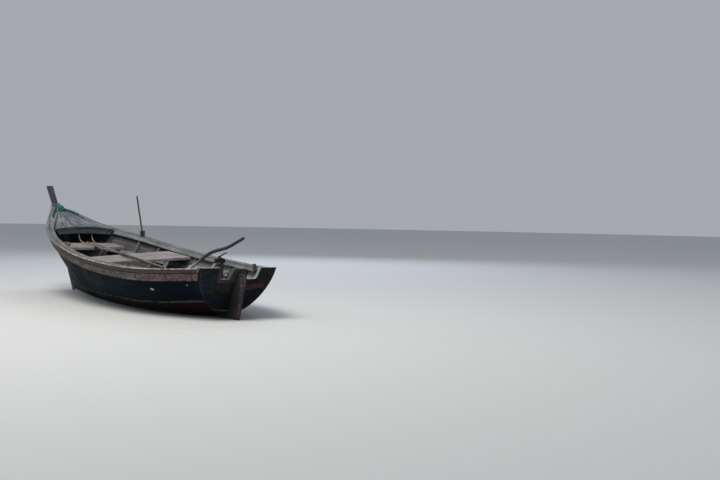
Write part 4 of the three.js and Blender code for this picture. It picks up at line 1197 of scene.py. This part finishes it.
# Bow thwart: one thick sawn board across the risers just aft of the foredeck, sloped with the sheer. It is
# bare wood, worn pale, and nailed down at both ends.
thwart_wood = bare_wood(
    "worn_thwart_boards", ("#555353", "#7c7a7a", "#a09f9f"), crack="#262322", tint=("#8f8282", 0.4)
)
aft, fore = BOW_THWART_AFT, BOW_THWART_FORE
aft_low, fore_low = riser_top(aft) + GAP, riser_top(fore) + GAP
share = np.linspace(1, -1, 5)
aft_y = half_width(aft, riser_top(aft), PLANK + GAP + 0.008) * share
fore_y = half_width(fore, riser_top(fore), PLANK + GAP + 0.008) * share
bow_thwart = from_edges(
    (aft, aft_y, aft_low),
    (fore, fore_y, fore_low),
    (fore, fore_y, fore_low + BOW_THWART_THICK),
    (aft, aft_y, aft_low + BOW_THWART_THICK),
)
loft(
    "bow_thwart_board",
    bow_thwart,
    [thwart_wood],
    bevel=0.006,
    segments=3,
    slot="weathered_wood",
    stands_for=["bow_thwart"],
)

# Thwart: two wide boards side by side. Their port ends rest on the riser and the starboard ends on a chock,
# so they slope down to port. A slanting stanchion props the after board from the floorboards.
THWARTS = [("thwart_board_aft", -0.338, -0.064), ("thwart_board_fore", -0.058, 0.216)]
THWART_THICK, THWART_HALF = 0.036, 0.715


def chock_high(x):
    """The chock grows forward from 66 to 92 mm."""
    return 0.066 + 0.026 * (x - THWARTS[0][1]) / (THWARTS[1][2] - THWARTS[0][1])


def thwart_top(x, y):
    """The riser's height and the board's thickness, and the chock's height falling evenly to port."""
    return riser_top(x) + 2 * GAP + THWART_THICK + chock_high(x) / 2 * (1 - y / THWART_HALF)


share = np.linspace(-1, 1, 7)
for name, aft, fore in THWARTS:
    aft_y = share * (half_width(aft, riser_top(aft), INNER + 0.002) - 0.002)
    fore_y = share * (half_width(fore, riser_top(fore), INNER + 0.002) - 0.002)
    aft_z, fore_z = thwart_top(aft, aft_y), thwart_top(fore, fore_y)
    rings = from_edges(
        (aft, aft_y, aft_z - THWART_THICK),
        (fore, fore_y, fore_z - THWART_THICK),
        (fore, fore_y, fore_z),
        (aft, aft_y, aft_z),
    )
    loft(name + "_plank", rings, [thwart_wood], bevel=0.006, segments=3, slot="pale_wood", stands_for=[name])

x = np.linspace(THWARTS[0][1] + 0.012, THWARTS[1][2] - 0.012, 3)
outer = half_width(x, riser_top(x), INNER + 0.003)
inner, low = outer - 0.038, riser_top(x) + GAP
high = lambda y: thwart_top(x, -y) - THWART_THICK - 0.002
chock_corners = ((outer, low), (inner, low), (inner, high(inner)), (outer, high(outer - 0.004)))
chock = from_edges(*[(x, -y, z) for y, z in chock_corners])
loft("thwart_chock_packing", chock, [beam_wood], bevel=0.002, slot="dark_wood", stands_for=["thwart_chock"])

SQUARE = ((-1, -1), (1, -1), (1, 1), (-1, 1))
STANCHION_THICK, STANCHION_HALF, FLOORBOARD_THICK = 0.014, 0.024, 0.018
prop_x, foot_y, head_y = FRAME_X[5] + 0.042, -0.100, -0.392
foot_z = float(floor_at(FRAME_X[5])) + 0.006 + FLOORBOARD_THICK
head_z = float(thwart_top(prop_x, head_y + STANCHION_HALF)) - THWART_THICK - 0.003
prop = [
    [(prop_x + a * STANCHION_THICK, y + b * STANCHION_HALF, z) for a, b in SQUARE]
    for y, z in ((foot_y, foot_z), (head_y, head_z))
]
pale_prop = bare_wood("pale_grey_stanchion", ("#77777a", "#9c9da0", "#bcbec1"), crack="#3b3a3a", fibre_mm=4)
loft("thwart_stanchion_prop", prop, [pale_prop], slot="pale_wood", stands_for=["thwart_stanchion"])

# Floorboards: three sawn boards laid fore and aft on the frames' floors and nailed down, dark with oil and
# mud.
floor_wood = bare_wood("muddy_floorboards", ("#2b2622", "#453d36", "#62584f"), crack="#15120f", fibre_mm=6)
stops = np.array(FRAME_X[2:8])
x = np.linspace(stops[0] - 0.04, stops[-1] + 0.04, 41)
z = np.interp(x, stops, floor_at(stops)) + 0.0045
flat = skin_at_x(x, FLOOR_SHARE * QUARTER, INNER)[:, 1]
FLOOR_BOARDS = (("port", 0.36, 0.94), ("centre", -0.33, 0.33), ("starboard", -0.94, -0.36))
high = z + FLOORBOARD_THICK
for side, share_from, share_to in FLOOR_BOARDS:
    left, right = share_from * flat, share_to * flat
    rings = from_edges((x, left, z), (x, right, z), (x, right, high), (x, left, high))
    name = "floorboard_" + side
    loft(name + "_plank", rings, [floor_wood], bevel=0.002, slot="dark_wood", stands_for=[name])


# Pole and its block: a square dark block nailed on the starboard rail with a leaning hole, and a thin
# brownish pole stood in it. The block keeps its solid; the pole is a straight stick with small knots.
def block_paint():
    """Tarred hardwood end block, matt, with streaks 8 mm wide and 100 mm long along the rail."""
    material, tree, spot = new_material("tarred_pole_block")
    drawn = add(tree, "Mapping", {"Vector": spot, "Scale": (1000 / 100, 1000 / 8.333, 1000 / 8.333)})
    fine = add(tree, "TexNoise", {"Vector": drawn, "Scale": 1.0, "Detail": 4.0})
    tone = add(tree, "ValToRGB", {"Fac": fine}, stops=[(0.35, "#16191c"), (0.65, "#3b4147")])
    return surfaced(material, tone, fine, 0.5, 1.0, {"Roughness": 0.8})


def wear(node, material):
    """Gives a CAD node that stays its finish."""
    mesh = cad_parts[node].data
    mesh.materials.clear()
    mesh.materials.append(material)


wear("pole_block", block_paint())


def stick(name, path, radii, finish, sides=20, lumps=0.0, **words):
    """A round stick: a circle carried along a path, with a radius at each point that wanders by a share
    lumps, as the knots of a branch do."""
    side, up = frames_along(path)
    turn = np.arange(sides) * 2 * math.pi / sides
    run = np.arange(len(path))[:, None]
    knotty = 1 + lumps * (np.sin(0.61 * run + 2 * turn) * 0.6 + np.sin(0.23 * run - turn + 1.3) * 0.4)
    reach = np.asarray(radii)[:, None] * knotty
    rings = (
        path[:, None]
        + reach[..., None] * np.cos(turn)[None, :, None] * side[:, None]
        + reach[..., None] * np.sin(turn)[None, :, None] * up[:, None]
    )
    return loft(name, rings, [finish], **words)


POLE_X, POLE_R, POLE_LOW, POLE_LONG = 1.032, 0.012, 0.002, 0.545
pole_lean = np.array([0.139, 0.115, 1.0])
pole_lean /= np.linalg.norm(pole_lean)
rail_point = skin_at_x(POLE_X, QUARTER)
pole_foot = np.array([POLE_X - 0.004, -rail_point[1] + 0.045, rail_point[2] + 0.038])
pole_run = np.linspace(POLE_LOW, POLE_LONG, 40)
pole_path = pole_foot + pole_run[:, None] * pole_lean
pole_radii = np.interp(pole_run, [POLE_LOW, 0.3, POLE_LONG], [POLE_R, POLE_R, POLE_R - 0.002])
pole_wood = bare_wood(
    "grey_brown_peeled_pole", ("#34302e", "#57504c", "#7f7874"), crack="#1b1614", fibre_mm=4
)
stick(
    "pole_stick",
    pole_path,
    pole_radii,
    pole_wood,
    lumps=0.03,
    bevel=0.002,
    body="pole",
    slot="red_wood",
    stands_for=["pole"],
)

# Stern trestle: a square post on the first frame's floor with a slanting brace, and across its head a worn
# dark-red block with an iron lever.
TRESTLE_X, TRESTLE_TOP, CROSS_HALF = FRAME_X[0], 0.598, 0.062
POST_Y, POST_SIZE, BRACE_SIZE = -0.026, (0.014, 0.015), (0.011, 0.012)
post_ring = lambda y, z, dx, dy: [(TRESTLE_X + a * dx, y + b * dy, z) for a, b in SQUARE]
trestle_dark = bare_wood(
    "dark_oiled_trestle_post", ("#2e2e2f", "#4c4c4d", "#6f6e6e"), crack="#161616", fibre_mm=4
)
trestle_grey = bare_wood(
    "pale_grey_trestle_brace", ("#7b7874", "#a19e9a", "#c4c2be"), crack="#43403c", fibre_mm=4
)
loft(
    "trestle_post_timber",
    [post_ring(POST_Y, z, *POST_SIZE) for z in (float(floor_at(TRESTLE_X)) + 0.001, TRESTLE_TOP)],
    [trestle_dark],
    bevel=0.002,
    slot="weathered_wood",
    stands_for=["trestle_post"],
)
loft(
    "trestle_brace_timber",
    [post_ring(y, z, *BRACE_SIZE) for y, z in ((0.044, TRESTLE_TOP), (0.308, 0.245))],
    [trestle_grey],
    bevel=0.002,
    slot="pale_wood",
    stands_for=["trestle_brace"],
)
red_block = bare_wood("dark_red_worn_block", ("#15090e", "#2b151e", "#4b2d3a"), crack="#0a0507", fibre_mm=4)
CROSS_SECTION = ((-0.026, 0), (0.026, 0), (0.026, 0.046), (0.014, 0.056), (-0.014, 0.056), (-0.026, 0.046))
# Share of half the length, share of the section left there
CROSS_WORN = (
    (-1.0, 0.66), (-0.8, 0.88), (-0.4, 0.94), (-0.15, 0.99), (0.2, 1.0), (0.5, 0.86), (0.8, 0.93), (1.0, 0.7)
)
cross = [
    [(TRESTLE_X + left * dx, share * CROSS_HALF, TRESTLE_TOP + GAP + left * dz) for dx, dz in CROSS_SECTION]
    for share, left in CROSS_WORN
]
loft(
    "trestle_cross_block_worn",
    cross,
    [red_block],
    bevel=0.004,
    segments=3,
    slot="red_wood",
    stands_for=["trestle_cross_block"],
)


def rusty_iron(name, deep, bright, rust):
    """Forged iron left in salt air: dull dark skin of 17 mm scale with brown rust in patches of 59 mm."""
    material, tree, spot = new_material(name)
    scale = add(tree, "TexNoise", {"Vector": spot, "Scale": 1000 / 16.67, "Detail": 6.0})
    patch = add(tree, "TexNoise", {"Vector": spot, "Scale": 1000 / 58.82, "Detail": 4.0})
    skin_tone = add(tree, "ValToRGB", {"Fac": scale}, stops=[(0.35, deep), (0.65, bright)])
    colour = coats(tree, skin_tone, (rust, band(tree, patch, 0.55, None, 0.05), 0.6))
    return surfaced(material, colour, scale, 0.5, 1.0, {"Metallic": 0.35, "Roughness": 0.62})


dark_iron = rusty_iron("forged_iron_dark", "#14181d", "#2c343c", "#4a3026")
base = np.array([TRESTLE_X, 0.004, TRESTLE_TOP + 0.057])
root = base + [-0.004, 0, 0.010]
tip = base + [-0.118, -0.030, 0.058]
LEVER_POINTS, LEVER_BOW = 14, 0.004
lever_path = root + np.linspace(0, 1, LEVER_POINTS)[:, None] * (tip - root)
lever_path[:, 2] += LEVER_BOW * np.sin(np.linspace(0, math.pi, LEVER_POINTS))
stick(
    "trestle_lever_rod",
    lever_path,
    np.linspace(0.008, 0.0065, LEVER_POINTS),
    dark_iron,
    bevel=0.002,
    slot="dark_iron",
    stands_for=["trestle_lever"],
)
collar_path = base + np.array([(0, 0, z) for z in (0.0005, 0.006, 0.013, 0.020)])
stick("lever_collar", collar_path, [0.019, 0.0185, 0.0165, 0.0145], dark_iron, bevel=0.002, slot="dark_iron")

# Bent bar: a natural crook fixed to the port inwale that rises aft over the middle of the transom. Its lower
# part is worn pale grey and the rest has old dark blue-grey paint.
BENT_BAR = from_stern(
    [
        (322, 462, 475), (318, 430, 526), (314, 388, 562), (310, 318, 608), (308, 262, 650),
        (302, 205, 694), (290, 125, 731), (248, 60, 755), (192, 5, 781), (100, -40, 832), (8, -86, 884),
    ]
)
BAR_RADII = np.array([16, 16, 17, 17, 18, 19, 19, 19, 18, 17, 15]) / 1000


def bar_paint():
    """Dark blue-grey paint over a crooked branch, rubbed to pale wood at its lower end."""
    material, tree, spot = new_material("blue_grey_painted_crook")
    z = add(tree, "SeparateXYZ", {"Vector": spot}, out="Z")
    fine, broad = grained(tree, add(tree, "UVMap", uv_map="grain"), 5, 24)
    paint = add(tree, "ValToRGB", {"Fac": broad}, stops=[(0.35, "#161c25"), (0.65, "#2f3944")])
    wood = add(tree, "ValToRGB", {"Fac": fine}, stops=[(0.35, "#75777a"), (0.65, "#aeb1b3")])
    ragged = band(tree, broad, 0.34, None, 0.001)
    colour = coats(tree, paint, (wood, fading(tree, z, 0.64, 0.56), ragged))
    return surfaced(material, colour, fine, 0.5, 1.5, {"Roughness": 0.7})


bar_path = evenly(smooth_path(BENT_BAR, 10), 0.008)
bar_run = run_along(BENT_BAR)
path_run = np.linspace(0, bar_run[-1], len(bar_path))
stick(
    "bent_bar_crook",
    bar_path,
    np.interp(path_run, bar_run, BAR_RADII),
    bar_paint(),
    lumps=0.05,
    bevel=0.004,
    slot="dark_iron",
    stands_for=["bent_bar"],
)

# Oar: one piece of grey-brown wood laid along the boat, its blade forward on the bow thwart and its loom
# across the thwart boards. The blade is a flat ellipse in section that grows into the round loom, which ends
# in a grip.
OAR_R, OAR_LENGTH, BLADE_WIDE, BLADE_THICK, BLADE_ROLL = 0.017, 2.800, 0.052, 0.010, 0.17
oar_tip = np.array([1.300, -0.052, 0.0])
oar_tip[2] = bow_thwart_top(oar_tip[0]) + BLADE_WIDE * math.sin(BLADE_ROLL) + BLADE_THICK + 0.003
oar_rest = np.array([0.216, 0.038, 0.0])
oar_rest[2] = thwart_top(oar_rest[0], oar_rest[1]) + OAR_R + 0.003
OAR_SECTIONS = np.array(
    [
        (0, 34, 5), (60, 48, 8), (420, 52, 10), (700, 44, 12), (1000, 19, 16), (1080, 17, 17),
        (2660, 17, 17), (2690, 14, 14), (2800, 13, 13),
    ]
) / 1000
oar_along = (oar_rest - oar_tip) / np.linalg.norm(oar_rest - oar_tip)
oar_across = np.array([-oar_along[1], oar_along[0], 0])
oar_across /= np.linalg.norm(oar_across)
oar_over = np.cross(oar_across, oar_along)
if oar_over[2] < 0:
    oar_over = -oar_over
wide_axis = oar_across * math.cos(BLADE_ROLL) + oar_over * math.sin(BLADE_ROLL)
thick_axis = oar_over * math.cos(BLADE_ROLL) - oar_across * math.sin(BLADE_ROLL)
run = np.unique(np.concatenate([np.linspace(0, OAR_LENGTH, 90), OAR_SECTIONS[:, 0]]))
wide = np.interp(run, OAR_SECTIONS[:, 0], OAR_SECTIONS[:, 1])
thick = np.interp(run, OAR_SECTIONS[:, 0], OAR_SECTIONS[:, 2])
OAR_SIDES = 24
turn = np.arange(OAR_SIDES) * 2 * math.pi / OAR_SIDES
oar_rings = (
    oar_tip
    + run[:, None, None] * oar_along
    + (wide[:, None] * np.cos(turn))[..., None] * wide_axis
    + (thick[:, None] * np.sin(turn))[..., None] * thick_axis
)
oar_wood = bare_wood(
    "grey_brown_oar_wood", ("#302a2a", "#4d4645", "#8e8683"), crack="#181414", fibre_mm=4, broad_mm=12
)
loft("oar_shaped", oar_rings, [oar_wood], bevel=0.002, body="oar", slot="pale_wood", stands_for=["oar"])

# Small fittings: an iron eye driven into the port notch of the transom, and a dark wooden cleat nailed to
# the starboard inwale by the second frame.
EYE_AT, EYE_RADIUS, EYE_WIRE = np.array([-3.060, 0.161, 0.492]), 0.022, 0.005
EYE_OPENS, EYE_POINTS = 0.35, 40
ring_turn = np.linspace(EYE_OPENS, 2 * math.pi - EYE_OPENS, EYE_POINTS) - math.pi / 2
loop = EYE_AT + EYE_RADIUS * np.stack([0 * ring_turn, np.cos(ring_turn), np.sin(ring_turn)], 1)
shank = EYE_AT + np.array([(0, 0, z) for z in (-0.052, -0.040, -0.030, -EYE_RADIUS)])
for name, path in (("mooring_eye", loop), ("mooring_eye_shank", shank)):
    stick(name, path, np.full(len(path), EYE_WIRE), dark_iron, sides=12, bevel=0.001, slot="dark_iron")
x = np.array([-2.25, -2.19])
low, high = rail_at(x) - 0.030, rail_at(x) + 0.045
outer = -half_width(x, low, INNER + INWALE_THICK + 0.003)
inner = outer + 0.036
cleat = from_edges((x, outer, low), (x, inner, low), (x, inner, high), (x, outer, high))
loft("starboard_cleat", cleat, [trestle_dark], bevel=0.004, slot="dark_wood")

# Studio: a plain pale floor at the waterline that stops at the planking, a broad soft light high on the port
# side, a weak one from ahead, and a pale even sky.
FLOOR_REACH = 60
x = np.linspace(-2.36, 1.84, 61)
side_line = np.stack([x, half_width(x, 0.0, PLANK / 2)], 1)
waterline = np.concatenate([side_line, side_line[::-1] * [1, -1]])
middle = np.array([-0.4, 0.0])
away = waterline - middle
far_line = middle + FLOOR_REACH * away / np.linalg.norm(away, axis=1, keepdims=True)
floor_points = np.insert(np.concatenate([waterline, far_line]), 2, 0.0, axis=1)
around = len(waterline)
floor_faces = [(k, around + k, around + (k + 1) % around, (k + 1) % around) for k in range(around)]
floor_mesh = bpy.data.meshes.new("floor")
floor_mesh.from_pydata(floor_points.tolist(), [], floor_faces)
floor = bpy.data.objects.new("floor", floor_mesh)
bpy.context.scene.collection.objects.link(floor)
floor_paint = bpy.data.materials.new("pale_studio_floor")
floor_paint.use_nodes = True
floor_shader = floor_paint.node_tree.nodes["Principled BSDF"]
plug(floor_paint.node_tree, floor_shader, {"Base Color": "#c9ccce", "Roughness": 0.9})
floor_mesh.materials.append(floor_paint)


def soft_light(name, place, aim, size, power, colour):
    """A square area light that looks at a point."""
    lamp = bpy.data.lights.new(name, "AREA")
    lamp.size = size
    lamp.energy = power
    lamp.color = linear(colour)[:3]
    made = bpy.data.objects.new(name, lamp)
    back = np.asarray(place, float) - aim
    back /= np.linalg.norm(back)
    side = np.cross((0.0, 0.0, 1.0), back)
    side /= np.linalg.norm(side)
    pose = np.eye(4)
    pose[:3, :3] = np.stack([side, np.cross(back, side), back], 1)
    pose[:3, 3] = place
    made.matrix_world = pose.T.tolist()
    bpy.context.scene.collection.objects.link(made)


soft_light("key", (-3.0, 5.0, 12.0), (0.0, 0.0, 0.3), 8.0, 1500, "#fff8ee")
soft_light("fill", (9.0, -8.0, 7.0), (0.0, 0.0, 0.3), 7.0, 400, "#e6f0ff")
world = bpy.data.worlds.new("pale_sky")
world.use_nodes = True
plug(world.node_tree, world.node_tree.nodes["Background"], {"Color": "#d8dde2", "Strength": 0.55})
bpy.context.scene.world = world
bpy.context.scene.view_settings.view_transform = "Standard"
